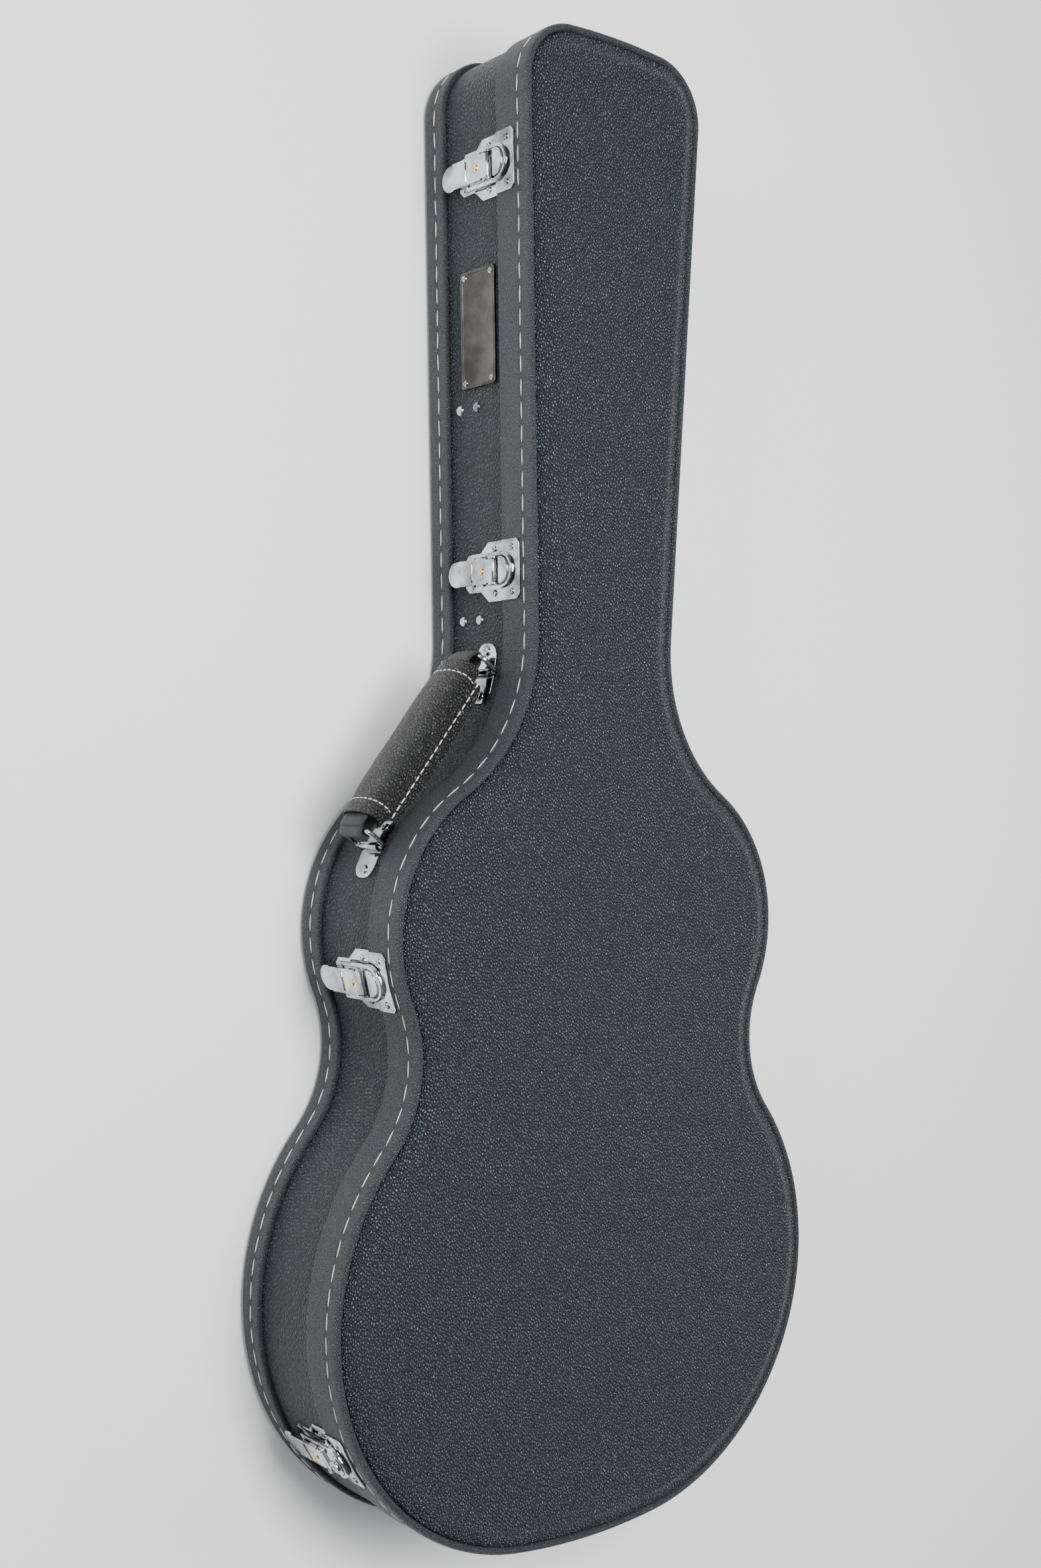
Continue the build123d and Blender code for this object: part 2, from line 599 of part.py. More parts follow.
def latch_base(place):
    """Riveted plate on the body wall, with the two ears of the lever's pivot."""
    wide = LATCH_WIDTH / 2
    narrow = LATCH_NARROW_WIDTH / 2
    half = [
        (wide, -LATCH_EDGE_GAP), (wide, -LATCH_BASE_SHOULDER), (narrow, -LATCH_BASE_WAIST),
        (narrow, LATCH_BASE_CORNER - LATCH_BASE_LENGTH), (narrow - LATCH_BASE_CORNER, -LATCH_BASE_LENGTH),
    ]
    sketch = make_face(Polyline(*half, *[(-x, y) for x, y in reversed(half)], close=True))
    whole = skin(place * prism(sketch, -LATCH_CUT, LATCH_CUT), 0, LATCH_SHEET)
    ear = cross_rod(Pos(0, 0, 0), EAR_SHEET / 2, PIVOT_ALONG, PIVOT_OUT, EAR_RADIUS)
    foot_height = PIVOT_OUT - EAR_FOOT
    ear += Pos(0, PIVOT_ALONG, EAR_FOOT + foot_height / 2) * Box(EAR_SHEET, 2 * EAR_RADIUS, foot_height)
    for side in (-1, 1):
        whole += place * Pos(side * (LEVER_FRONT_WIDTH / 2 + EAR_SIDE_GAP + EAR_SHEET / 2), 0, 0) * ear
    return whole - cross_rod(place, LATCH_WIDTH, PIVOT_ALONG, PIVOT_OUT, PIN_RADIUS)


def lever_pin(place):
    """Pin that the lever turns on, held in the two ears."""
    half = LEVER_FRONT_WIDTH / 2 + EAR_SIDE_GAP + EAR_SHEET
    return cross_rod(place, half, PIVOT_ALONG, PIVOT_OUT, PIN_RADIUS)


def latch_lever(place):
    """Folded lever with a round finger tab, a cross bead and the barrel on the pin."""
    top = LEVER_TOP_OUT
    low = top - LEVER_SHEET
    tab_start = LEVER_END - TAB_DROP
    tip = tab_start - TAB_LENGTH
    half = LEVER_WIDTH / 2
    section = [
        (PIVOT_ALONG, top), (LEVER_END, top), (tab_start, top - TAB_DROP), (tip, top - TAB_DROP),
        (tip, low - TAB_DROP), (tab_start, low - TAB_DROP), (LEVER_END, low), (PIVOT_ALONG, low),
    ]
    ribbon = extrude(Plane.YZ * make_face(Polyline(*section, close=True)), half, both=True)
    plan = Pos(0, (LEVER_FRONT + LEVER_END) / 2) * Rectangle(LEVER_WIDTH, LEVER_FRONT - LEVER_END)
    plan += Pos(0, LEVER_FRONT / 2) * Rectangle(LEVER_FRONT_WIDTH, -LEVER_FRONT)
    plan += Pos(0, (LEVER_END + tip + half) / 2) * Rectangle(LEVER_WIDTH, LEVER_END - tip - half)
    plan += Pos(0, tip + half) * Circle(half)
    lever = ribbon & prism(plan, 0, 2 * top)
    for side in (-1, 1):
        cheek = Box(LEVER_SHEET, LEVER_FRONT - LEVER_END, LEVER_SIDE_DROP)
        middle = (LEVER_FRONT + LEVER_END) / 2
        lever += Pos(side * (half - LEVER_SHEET / 2), middle, top - LEVER_SIDE_DROP / 2) * cheek
    here = Pos(0, 0, 0)
    lever += cross_rod(here, LEVER_FRONT_WIDTH / 2, PIVOT_ALONG, PIVOT_OUT, BARREL_RADIUS)
    lever += cross_rod(here, half - BEAD_INSET, BEAD_ALONG, top, BEAD_RADIUS)
    lever -= cross_rod(here, LEVER_WIDTH, PIVOT_ALONG, PIVOT_OUT, PIN_RADIUS + PIN_GAP)
    lever -= cross_rod(here, LEVER_WIDTH, LOOP_PIVOT_ALONG, LOOP_PIVOT_OUT, LOOP_PIN_RADIUS + PIN_GAP)
    return place * lever


def latch_loop(place):
    """Stamped frame that hangs on the lever and reaches round the catch."""
    outer = LOOP_WIDTH / 2
    inner = outer - LOOP_LEG
    bend = LOOP_END - outer
    back = LOOP_PIVOT_ALONG - LOOP_LEG
    frame = Pos(0, (bend + back) / 2) * Rectangle(LOOP_WIDTH, bend - back) + Pos(0, bend) * Circle(outer)
    frame -= Pos(0, (bend + back) / 2 - CUT_PAST) * Rectangle(2 * inner, bend - back + 2 * CUT_PAST)
    frame -= Pos(0, bend) * Circle(inner)
    frame = chamfer(frame.vertices().group_by(Axis.Y)[0], LOOP_CORNER)
    loop = prism(frame, LOOP_PIVOT_OUT - LOOP_SHEET / 2, LOOP_PIVOT_OUT + LOOP_SHEET / 2)
    band = Circle(outer) - Circle(outer - 2 * LOOP_END_RADIUS)
    band = Pos(0, bend) * (band & Pos(0, outer) * Rectangle(2 * LOOP_WIDTH, LOOP_WIDTH))
    band = prism(band, LOOP_END_OUT - LOOP_END_RADIUS, LOOP_END_OUT + LOOP_END_RADIUS)
    loop += chamfer(band.edges().group_by(Axis.Z)[-1], LOOP_EDGE)
    tip = LEVER_WIDTH / 2 - LEVER_SHEET + LOOP_PIN_RECESS
    for side in (-1, 1):
        loop += rod((side * tip, LOOP_PIVOT_ALONG, LOOP_PIVOT_OUT),
                    (side * (inner + LOOP_LEG / 2), LOOP_PIVOT_ALONG, LOOP_PIVOT_OUT), LOOP_PIN_RADIUS)
    return place * loop


def latch_catch(place):
    """Plate on the lid band with the raised catch that the loop pulls on."""
    middle = (LATCH_EDGE_GAP + CATCH_LENGTH) / 2
    sketch = Pos(0, middle) * Rectangle(LATCH_WIDTH, CATCH_LENGTH - LATCH_EDGE_GAP)
    sketch = chamfer(sketch.vertices().group_by(Axis.Y)[-1], CATCH_CORNER)
    grow = LID_BAND_THICKNESS
    whole = skin(place * prism(sketch, -LATCH_CUT, LATCH_CUT), grow, grow + LATCH_SHEET)
    radius = LOOP_WIDTH / 2 - 2 * LOOP_END_RADIUS - HUMP_GAP
    bend = LOOP_END - LOOP_WIDTH / 2
    hump = prism(Pos(0, bend) * Circle(radius), grow + LATCH_SHEET / 2, HUMP_OUT)
    hump = eased(hump.edges().group_by(Axis.Z)[-1], HUMP_EDGE)
    hump &= Pos(0, bend - CUT_PAST + radius, 0) * Box(4 * radius, 2 * radius, 4 * HUMP_OUT)
    return whole + place * hump


def lock_barrel(place):
    """Round lock on the lowest catch, with a plain keyway."""
    middle = LOOP_END - LOOP_WIDTH / 2 + LOCK_STEP
    barrel = prism(Pos(0, middle) * Circle(LOCK_RADIUS), HUMP_OUT, LOCK_OUT)
    barrel = chamfer(barrel.edges().group_by(Axis.Z)[-1], LOCK_EDGE)
    return place * (barrel - Pos(0, middle, LOCK_OUT) * Box(KEYWAY_WIDTH, KEYWAY_LENGTH, 2 * KEYWAY_DEPTH))


def lever_rivet(place):
    """Brass rivet head on the lever."""
    head = rivet(BRASS_RIVET_RADIUS, BRASS_RIVET_HEIGHT, BRASS_RIVET_SHANK, LEVER_SHEET)
    return place * Pos(0, BRASS_RIVET_ALONG, LEVER_TOP_OUT) * head


LATCH_PLACES = [
    seat(*on_neck(HEAD_LATCH_Y), PARTING_HEIGHT),
    seat(*on_neck(NECK_LATCH_Y), PARTING_HEIGHT),
    seat(*on_arc(UPPER_CENTRE, UPPER_BOUT_RADIUS, UPPER_LATCH_ANGLE), PARTING_HEIGHT),
    seat(*on_arc(LOWER_CENTRE, LOWER_BOUT_RADIUS, LOWER_LATCH_ANGLE), PARTING_HEIGHT),
]
LATCH_WALL_RADII = [None, None, UPPER_BOUT_RADIUS, LOWER_BOUT_RADIUS]


def outward_drop(radius, across):
    """How far a round wall of this radius falls away at a distance across."""
    return radius - sqrt(radius**2 - across**2)


def wall_rivets(place, points, sheet_out, wall_radius):
    """Rivets through a sheet on the wall, at the given local points."""
    rivets = []
    for across, along in points:
        level = sheet_out
        tilt = 0.0
        if wall_radius:
            level -= outward_drop(wall_radius + sheet_out, across)
            tilt = degrees(across / (wall_radius + sheet_out))
        head = rivet(RIVET_RADIUS, RIVET_HEIGHT, RIVET_SHANK, RIVET_REACH)
        rivets.append(place * Pos(across, along, level - RIVET_SEAT) * Rot(0, tilt, 0) * head)
    return rivets


def latch_rivets(along, sheet_out):
    """The pair of rivets of every latch at one height."""
    points = [(-LATCH_RIVET_OFFSET, along), (LATCH_RIVET_OFFSET, along)]
    rivets = []
    for place, radius in zip(LATCH_PLACES, LATCH_WALL_RADII):
        rivets += wall_rivets(place, points, sheet_out, radius)
    return rivets


def hinge_rivets(side):
    """Two rivets in each leaf of one side, on the round wall behind it."""
    grow = 0.0 if side < 0 else LID_BAND_THICKNESS
    rivets = []
    for point in HINGE_POINTS:
        centre, radius = LOWER_CENTRE, LOWER_BOUT_RADIUS
        if point is HINGE_POINTS[-1]:
            centre, radius = UPPER_CENTRE, UPPER_BOUT_RADIUS
        for across in (-HINGE_WIDTH / 4, HINGE_WIDTH / 4):
            way = (point + HINGE_RUN * across - centre).normalized()
            point_on_leaf = centre + way * (radius + grow + HINGE_SHEET - RIVET_SEAT)
            spot = seat(point_on_leaf, way, PARTING_HEIGHT + side * RIVET_ROW)
            rivets.append(spot * rivet(RIVET_RADIUS, RIVET_HEIGHT, RIVET_SHANK, RIVET_REACH))
    return rivets


PLATE_PLACE = seat(*on_neck(PLATE_Y), PLATE_HEIGHT)


def name_plate():
    """Bare plate with a raised border."""
    sheet = prism(RectangleRounded(PLATE_LENGTH, PLATE_WIDTH, PLATE_CORNER), 0, PLATE_SHEET)
    border = RectangleRounded(PLATE_LENGTH, PLATE_WIDTH, PLATE_CORNER)
    border -= Rectangle(PLATE_LENGTH - 2 * PLATE_RIM, PLATE_WIDTH - 2 * PLATE_RIM)
    return PLATE_PLACE * (sheet + prism(border, PLATE_SHEET / 2, PLATE_SHEET + PLATE_RIM_HEIGHT))


def plate_rivets():
    """Small rivets in the corners of the plate."""
    across = PLATE_LENGTH / 2 - PLATE_RIVET_INSET
    along = PLATE_WIDTH / 2 - PLATE_RIVET_INSET
    points = [(x, y) for x in (-across, across) for y in (-along, along)]
    return wall_rivets(PLATE_PLACE, points, PLATE_SHEET, None)


def divider_screws():
    """Screws through both side walls into the ends of the cross walls."""
    screws = []
    for y in (LOWER_DIVIDER_Y, UPPER_DIVIDER_Y):
        point, outward = on_neck(y)
        for height in DIVIDER_SCREW_HEIGHTS:
            head = rivet(SCREW_RADIUS, SCREW_HEIGHT, SCREW_SHANK, SCREW_REACH)
            screws.append(seat(point, outward, height) * head)
            screws.append(seat(mirrored(point), mirrored(outward), height) * head)
    return screws


# Handle: two brackets on the wall and two rings that swing side by side
UPPER_MOUNT = on_arc(SHOULDER_CENTRE, SHOULDER_RADIUS, UPPER_BRACKET_ANGLE, hollow=True)
LOWER_MOUNT = on_arc(UPPER_CENTRE, UPPER_BOUT_RADIUS, LOWER_BRACKET_ANGLE)
UPPER_BAR = UPPER_MOUNT[0] + UPPER_MOUNT[1] * RING_BAR_OUT
LOWER_BAR = LOWER_MOUNT[0] + LOWER_MOUNT[1] * RING_BAR_OUT
HANDLE_RUN = (UPPER_BAR - LOWER_BAR).normalized()
HANDLE_OUT = Vector(-HANDLE_RUN.Y, HANDLE_RUN.X)
RING_STEP = HANDLE_OUT * RING_LENGTH
GRIP_CENTRE = (UPPER_BAR + LOWER_BAR) * 0.5 + RING_STEP
RING_SPACING = (UPPER_BAR - LOWER_BAR).length


def handle_plane(point):
    """A frame at bracket height: x along the handle, y up, z away from the case."""
    origin = (point.X, point.Y, BRACKET_HEIGHT)
    return Plane(origin=origin, x_dir=HANDLE_RUN * -1, z_dir=HANDLE_OUT).location


def bracket(mount):
    """Plate that hugs the wall, with the tunnel that holds the ring."""
    place = seat(*mount, BRACKET_HEIGHT)
    plan = RectangleRounded(BRACKET_LENGTH, BRACKET_WIDTH, BRACKET_CORNER)
    whole = skin(place * prism(plan, -LATCH_CUT, LATCH_CUT), 0, BRACKET_SHEET)
    half = TUNNEL_LENGTH / 2
    bore = RING_WIRE_RADIUS + RING_GAP
    outer = bore + TUNNEL_SHEET
    foot_height = RING_BAR_OUT - TUNNEL_FOOT
    tunnel = rod((0, -half, RING_BAR_OUT), (0, half, RING_BAR_OUT), outer)
    tunnel += Pos(0, 0, TUNNEL_FOOT + foot_height / 2) * Box(2 * outer, TUNNEL_LENGTH, foot_height)
    tunnel -= rod((0, -TUNNEL_LENGTH, RING_BAR_OUT), (0, TUNNEL_LENGTH, RING_BAR_OUT), bore)
    return whole + place * tunnel


def bracket_screws():
    """Screws at both ends of each bracket."""
    screws = []
    for mount, centre, radius in (
        (UPPER_MOUNT, mirrored(SHOULDER_CENTRE), SHOULDER_RADIUS),
        (LOWER_MOUNT, mirrored(UPPER_CENTRE), UPPER_BOUT_RADIUS),
    ):
        point, outward = mount
        along = Vector(-outward.Y, outward.X)
        hollow = (point + outward - centre).length < radius
        for step in (-BRACKET_SCREW_OFFSET, BRACKET_SCREW_OFFSET):
            way = (point + along * step - centre).normalized()
            face = -way if hollow else way
            spot = centre + way * radius + face * (BRACKET_SHEET - RIVET_SEAT)
            screw = rivet(SCREW_RADIUS, SCREW_HEIGHT, SCREW_SHANK, BRACKET_SCREW_REACH)
            screws.append(seat(spot, face, BRACKET_HEIGHT) * screw)
    return screws


def ring(bar):
    """Closed wire ring from the bracket's tunnel to the webbing."""
    place = handle_plane(bar + RING_STEP * 0.5)
    loop = Plane.YZ * RectangleRounded(RING_WIDTH, RING_LENGTH, RING_CORNER).wire()
    section = Plane(origin=loop @ 0, z_dir=loop % 0) * RegularPolygon(RING_WIRE_RADIUS, RING_SIDES)
    return place * sweep(section, loop)


def webbing(bar, side):
    """Webbing folded round a ring and running into the grip; side is 1 at the lower end."""
    place = handle_plane(bar + RING_STEP)
    outer = RING_WIRE_RADIUS + RING_GAP + WEBBING_SHEET
    inner = RING_WIRE_RADIUS + RING_GAP
    run = (RING_SPACING - GRIP_LENGTH) / 2
    plan = Circle(outer) + Pos(-side * run / 2, 0) * Rectangle(run, 2 * outer)
    plan -= Circle(inner)
    slice_ = extrude(Plane.XZ * plan, WEBBING_WIDTH / 2, both=True)
    return place * slice_


def grip():
    """Padded sleeve, a little narrower at its ends."""
    place = handle_plane(GRIP_CENTRE)
    middle = chamfer(Rectangle(GRIP_WIDTH, GRIP_THICKNESS).vertices(), GRIP_THICKNESS * GRIP_CORNER)
    end = scale(middle, GRIP_END_TAPER)
    cuts = (-GRIP_LENGTH / 2, -GRIP_LENGTH / 4, GRIP_LENGTH / 4, GRIP_LENGTH / 2)
    sections = [
        Plane(origin=(x, 0, 0), x_dir=(0, 1, 0), z_dir=(1, 0, 0)) * shape
        for x, shape in zip(cuts, (end, middle, middle, end))
    ]
    return place * loft(sections, ruled=True)


def foot(point, wall):
    """Domed foot from the round wall out to the plane that all feet share."""
    place = seat(point, HINGE_OUT, FOOT_LEVEL)
    post = eased(prism(Circle(FOOT_RADIUS), -FOOT_ROOT, FOOT_REACH).edges().group_by(Axis.Z)[-1], FOOT_DOME)
    return place * post - wall


def feet():
    """Four feet, a pair at each bout."""
    wall = slab(0, FOOT_LEVEL - 2 * FOOT_RADIUS, FOOT_LEVEL + 2 * FOOT_RADIUS)
    pairs = ((LOWER_TANGENT, LOWER_FOOT_SPACING), (UPPER_TANGENT, UPPER_FOOT_SPACING))
    return [
        foot(middle + HINGE_RUN * (side * spacing / 2), wall) for middle, spacing in pairs for side in (-1, 1)
    ]


# Export, one file for each node
os.makedirs("parts", exist_ok=True)
pieces = {
    "body_wall": body_wall(),
    "back_panel": back_panel(),
    "back_band": back_band(),
    "lid_wall": lid_wall(),
    "lid_band": lid_band(),
    "lid_panel": lid_panel(),
    "lid_lining": lid_lining(),
    "bout_lining": tub_lining(-LENGTH, LOWER_DIVIDER_Y - DIVIDER_THICKNESS / 2 - SOFT_GAP),
    "head_lining": tub_lining(UPPER_DIVIDER_Y + DIVIDER_THICKNESS / 2 + SOFT_GAP, LENGTH),
    "lower_divider": divider(LOWER_DIVIDER_Y),
    "upper_divider": divider(UPPER_DIVIDER_Y),
    "lower_neck_pad": neck_pad(LOWER_DIVIDER_Y),
    "upper_neck_pad": neck_pad(UPPER_DIVIDER_Y),
    "compartment_floor": compartment_floor(),
    "compartment_lid": compartment_lid(),
    "compartment_tab": pull_tab(),
    "compartment_hinge_fixed": strip_leaf(0, lies_flat=False),
    "compartment_hinge_moving": strip_leaf(1, lies_flat=True),
    "compartment_hinge_pin": strip_pin(),
    "hinge_body_leaves": Compound([hinge_leaf(place, -1) for place in HINGE_PLACES]),
    "hinge_lid_leaves": Compound([hinge_leaf(place, 1) for place in HINGE_PLACES]),
    "hinge_pins": Compound([hinge_pin(place) for place in HINGE_PLACES]),
    "lever_pins": Compound([lever_pin(place) for place in LATCH_PLACES]),
    "body_rivets": Compound(
        latch_rivets(BASE_RIVET_ALONG, LATCH_SHEET) + hinge_rivets(-1) + plate_rivets()
    ),
    "lid_rivets": Compound(
        latch_rivets(CATCH_RIVET_ALONG, LID_BAND_THICKNESS + LATCH_SHEET) + hinge_rivets(1)
    ),
    "divider_screws": Compound(divider_screws()),
    "name_plate": name_plate(),
    "upper_bracket": bracket(UPPER_MOUNT),
    "lower_bracket": bracket(LOWER_MOUNT),
    "bracket_screws": Compound(bracket_screws()),
    "upper_ring": ring(UPPER_BAR),
    "lower_ring": ring(LOWER_BAR),
    "upper_webbing": webbing(UPPER_BAR, -1),
    "lower_webbing": webbing(LOWER_BAR, 1),
    "grip": grip(),
    "feet": Compound(feet()),
    "latch_4_lock": lock_barrel(LATCH_PLACES[3]),
}
for number, latch_place in enumerate(LATCH_PLACES, start=1):
    pieces[f"latch_{number}_base"] = latch_base(latch_place)
    pieces[f"latch_{number}_lever"] = latch_lever(latch_place)
    pieces[f"latch_{number}_loop"] = latch_loop(latch_place)
    pieces[f"latch_{number}_catch"] = latch_catch(latch_place)
    pieces[f"latch_{number}_rivet"] = lever_rivet(latch_place)
for node, shape in pieces.items():
    export_step(shape, f"parts/{node}.step")
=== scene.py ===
import math

import bmesh
import bpy
import numpy as np
from mathutils import Matrix, Vector, noise


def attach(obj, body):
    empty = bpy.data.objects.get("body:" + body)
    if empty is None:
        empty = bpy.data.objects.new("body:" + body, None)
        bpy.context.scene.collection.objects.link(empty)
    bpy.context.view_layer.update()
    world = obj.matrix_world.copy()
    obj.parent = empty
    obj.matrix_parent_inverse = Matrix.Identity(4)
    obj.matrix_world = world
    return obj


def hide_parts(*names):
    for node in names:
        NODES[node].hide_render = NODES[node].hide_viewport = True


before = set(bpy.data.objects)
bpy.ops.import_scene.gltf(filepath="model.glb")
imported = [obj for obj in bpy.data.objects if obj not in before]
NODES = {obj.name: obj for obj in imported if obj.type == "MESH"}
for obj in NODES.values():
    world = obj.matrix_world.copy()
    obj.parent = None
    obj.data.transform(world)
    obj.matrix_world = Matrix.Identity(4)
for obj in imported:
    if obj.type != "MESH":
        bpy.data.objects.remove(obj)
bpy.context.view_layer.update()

MM = 0.001

# Plan of the walls in millimetres, the same arcs as the part's
LENGTH, LOWER_BOUT, UPPER_BOUT, BOUT_SPACING = 1060.0, 435.0, 348.0, 256.0
NECK_WIDTH, NECK_Y, HEAD_WIDTH, HEAD_Y = 126.5, 114.0, 159.0, 486.0
BOTTOM_R, LOWER_R, WAIST_R, UPPER_R = 485.0, 176.5, 92.0, 113.0
SHOULDER_R, CORNER_R, END_R = 128.0, 40.5, 535.0
# How finely the plan is divided: by turn, by run, at least, and along the neck
ARC_STEP, RUN_STEP, FEWEST_STEPS, NECK_STEPS = math.radians(2.4), 9.0, 4, 46


def plane_vector(x, y):
    return np.array([x, y], float)


def unit(v):
    return v / np.linalg.norm(v)


def circles_meet(centre_a, radius_a, centre_b, radius_b):
    """The point at both distances that lies furthest to +X."""
    span = centre_b - centre_a
    length = np.linalg.norm(span)
    along = (radius_a**2 - radius_b**2 + length**2) / (2 * length)
    across = math.sqrt(radius_a**2 - along**2)
    side = plane_vector(-span[1], span[0]) / length * across
    middle = centre_a + span / length * along
    return max((middle + side, middle - side), key=lambda point: point[0])


def line_circle(start, direction, centre, radius):
    """The point where a line from start leaves a circle."""
    across = start - centre
    half = across @ direction
    return start + direction * (-half + math.sqrt(half**2 - across @ across + radius**2))


LOWER_C = plane_vector(LOWER_BOUT / 2 - LOWER_R, 0)
BOTTOM_C = plane_vector(0, BOTTOM_R - LENGTH / 2)
LOWER_C[1] = BOTTOM_C[1] - math.sqrt((BOTTOM_R - LOWER_R)**2 - LOWER_C[0]**2)
UPPER_C = plane_vector(UPPER_BOUT / 2 - UPPER_R, LOWER_C[1] + BOUT_SPACING)
WAIST_C = circles_meet(LOWER_C, LOWER_R + WAIST_R, UPPER_C, UPPER_R + WAIST_R)
NECK_FOOT = plane_vector(NECK_WIDTH / 2, NECK_Y)
NECK_RUN = unit(plane_vector(HEAD_WIDTH / 2, HEAD_Y) - NECK_FOOT)
NECK_OUT = plane_vector(NECK_RUN[1], -NECK_RUN[0])
SHOULDER_C = line_circle(NECK_FOOT + NECK_OUT * SHOULDER_R, NECK_RUN, UPPER_C, UPPER_R + SHOULDER_R)
END_C = plane_vector(0, LENGTH / 2 - END_R)
CORNER_C = line_circle(NECK_FOOT - NECK_OUT * CORNER_R, NECK_RUN, END_C, END_R - CORNER_R)


def arc_points(centre, start, finish, hollow):
    """Points and outward directions along one arc, without its last point."""
    first = math.atan2(start[1] - centre[1], start[0] - centre[0])
    last = math.atan2(finish[1] - centre[1], finish[0] - centre[0])
    turn = (last - first + math.pi) % (2 * math.pi) - math.pi
    radius = np.linalg.norm(start - centre)
    count = max(FEWEST_STEPS, math.ceil(abs(turn) / ARC_STEP), math.ceil(abs(turn) * radius / RUN_STEP))
    rows = []
    for angle in np.linspace(first, first + turn, count, endpoint=False):
        way = plane_vector(math.cos(angle), math.sin(angle))
        rows.append((centre + way * radius, -way if hollow else way))
    return rows


def plan_rows():
    """Closed plan of the walls, anticlockwise from the middle of the bottom, with outward directions."""
    bottom_touch = LOWER_C + unit(LOWER_C - BOTTOM_C) * LOWER_R
    lower_touch = LOWER_C + unit(WAIST_C - LOWER_C) * LOWER_R
    upper_touch = UPPER_C + unit(WAIST_C - UPPER_C) * UPPER_R
    shoulder_touch = UPPER_C + unit(SHOULDER_C - UPPER_C) * UPPER_R
    neck_touch = SHOULDER_C - NECK_OUT * SHOULDER_R
    corner_touch = CORNER_C + NECK_OUT * CORNER_R
    end_touch = CORNER_C + unit(CORNER_C - END_C) * CORNER_R
    rows = arc_points(BOTTOM_C, plane_vector(0, -LENGTH / 2), bottom_touch, False)
    rows += arc_points(LOWER_C, bottom_touch, lower_touch, False)
    rows += arc_points(WAIST_C, lower_touch, upper_touch, True)
    rows += arc_points(UPPER_C, upper_touch, shoulder_touch, False)
    rows += arc_points(SHOULDER_C, shoulder_touch, neck_touch, True)
    rows += [(neck_touch + (corner_touch - neck_touch) * k / NECK_STEPS, NECK_OUT) for k in range(NECK_STEPS)]
    rows += arc_points(CORNER_C, corner_touch, end_touch, False)
    rows += arc_points(END_C, end_touch, plane_vector(0, LENGTH / 2), False)
    mirror = plane_vector(-1, 1)
    left = [(point * mirror, way * mirror) for point, way in reversed(rows[1:])]
    return rows + [(plane_vector(0, LENGTH / 2), plane_vector(0, 1))] + left


PLAN = plan_rows()


def plan_point(row, offset, height):
    """A place in metres, offset outwards from the plan and at a height, both in millimetres."""
    point, way = row
    place = point + way * offset
    return Vector((place[0] * MM, place[1] * MM, height * MM))


# Making and finishing meshes
def new_object(name, mesh):
    piece = bpy.data.objects.new(name, mesh)
    bpy.context.scene.collection.objects.link(piece)
    return piece


def mesh_from(name, build):
    """A new piece whose bmesh is filled by build."""
    shape = bmesh.new()
    build(shape)
    bmesh.ops.remove_doubles(shape, verts=shape.verts, dist=1e-6)
    bmesh.ops.recalc_face_normals(shape, faces=shape.faces)
    mesh = bpy.data.meshes.new(name)
    shape.to_mesh(mesh)
    shape.free()
    return new_object(name, mesh)


def smooth(piece, angle=None):
    """Smooth shading, with edges sharper than angle kept crisp."""
    mesh = piece.data
    mesh.polygons.foreach_set("use_smooth", [True] * len(mesh.polygons))
    if angle is not None:
        mesh.set_sharp_from_angle(angle=math.radians(angle))
    mesh.update()
    return piece


def bake_modifiers(piece):
    """Turns the piece's modifiers into a plain mesh."""
    bpy.context.view_layer.update()
    graph = bpy.context.evaluated_depsgraph_get()
    mesh = bpy.data.meshes.new_from_object(piece.evaluated_get(graph))
    piece.modifiers.clear()
    piece.data = mesh


def finish_piece(piece, material, body, slot, *nodes):
    """Paints a piece, puts it on its body and lets it stand for its CAD nodes."""
    piece.data.materials.clear()
    piece.data.materials.append(material)
    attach(piece, body)
    if nodes:
        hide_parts(*nodes)


def bridge(shape, rings):
    """Faces between closed rings of vertices, one ring to the next."""
    for first, second in zip(rings, rings[1:]):
        for k in range(len(first)):
            n = (k + 1) % len(first)
            shape.faces.new((first[k], first[n], second[n], second[k]))


def swept(name, profile, closed=True, caps=False):
    """A profile of (offset, height) points carried round the plan; caps fill its two end rings."""
    def build(shape):
        rings = [[shape.verts.new(plan_point(row, offset, height)) for offset, height in profile] for row in PLAN]
        last = len(profile) if closed else len(profile) - 1
        for index, ring in enumerate(rings):
            following = rings[(index + 1) % len(rings)]
            for k in range(last):
                n = (k + 1) % len(profile)
                shape.faces.new((ring[k], following[k], following[n], ring[n]))
        if caps:
            shape.faces.new([ring[0] for ring in rings])
            shape.faces.new([ring[-1] for ring in rings])
    return mesh_from(name, build)


MERGE_DISTANCE = 2e-6
FLAT_ANGLE = math.radians(0.6)


def merged_shape(node):
    """A bmesh of a CAD node, with its loose triangles joined."""
    shape = bmesh.new()
    shape.from_mesh(NODES[node].data)
    bmesh.ops.remove_doubles(shape, verts=shape.verts, dist=MERGE_DISTANCE)
    return shape


def merged_copy(node, name):
    """A copy of a CAD node's mesh, joined and with its flat faces whole."""
    shape = merged_shape(node)
    bmesh.ops.dissolve_limit(
        shape, angle_limit=FLAT_ANGLE, use_dissolve_boundaries=False, verts=shape.verts, edges=shape.edges
    )
    mesh = bpy.data.meshes.new(name)
    shape.to_mesh(mesh)
    shape.free()
    return new_object(name, mesh)


# Node and shader tools
def new_material(name):
    material = bpy.data.materials.new(name)
    material.use_nodes = True
    tree = material.node_tree
    return material, tree, tree.nodes["Principled BSDF"]


def link(tree, source, target):
    tree.links.new(source, target)


def put(node, **values):
    """Sets a node's input sockets by name, with _ for a space."""
    for key, value in values.items():
        node.inputs[key.replace("_", " ")].default_value = value
    return node


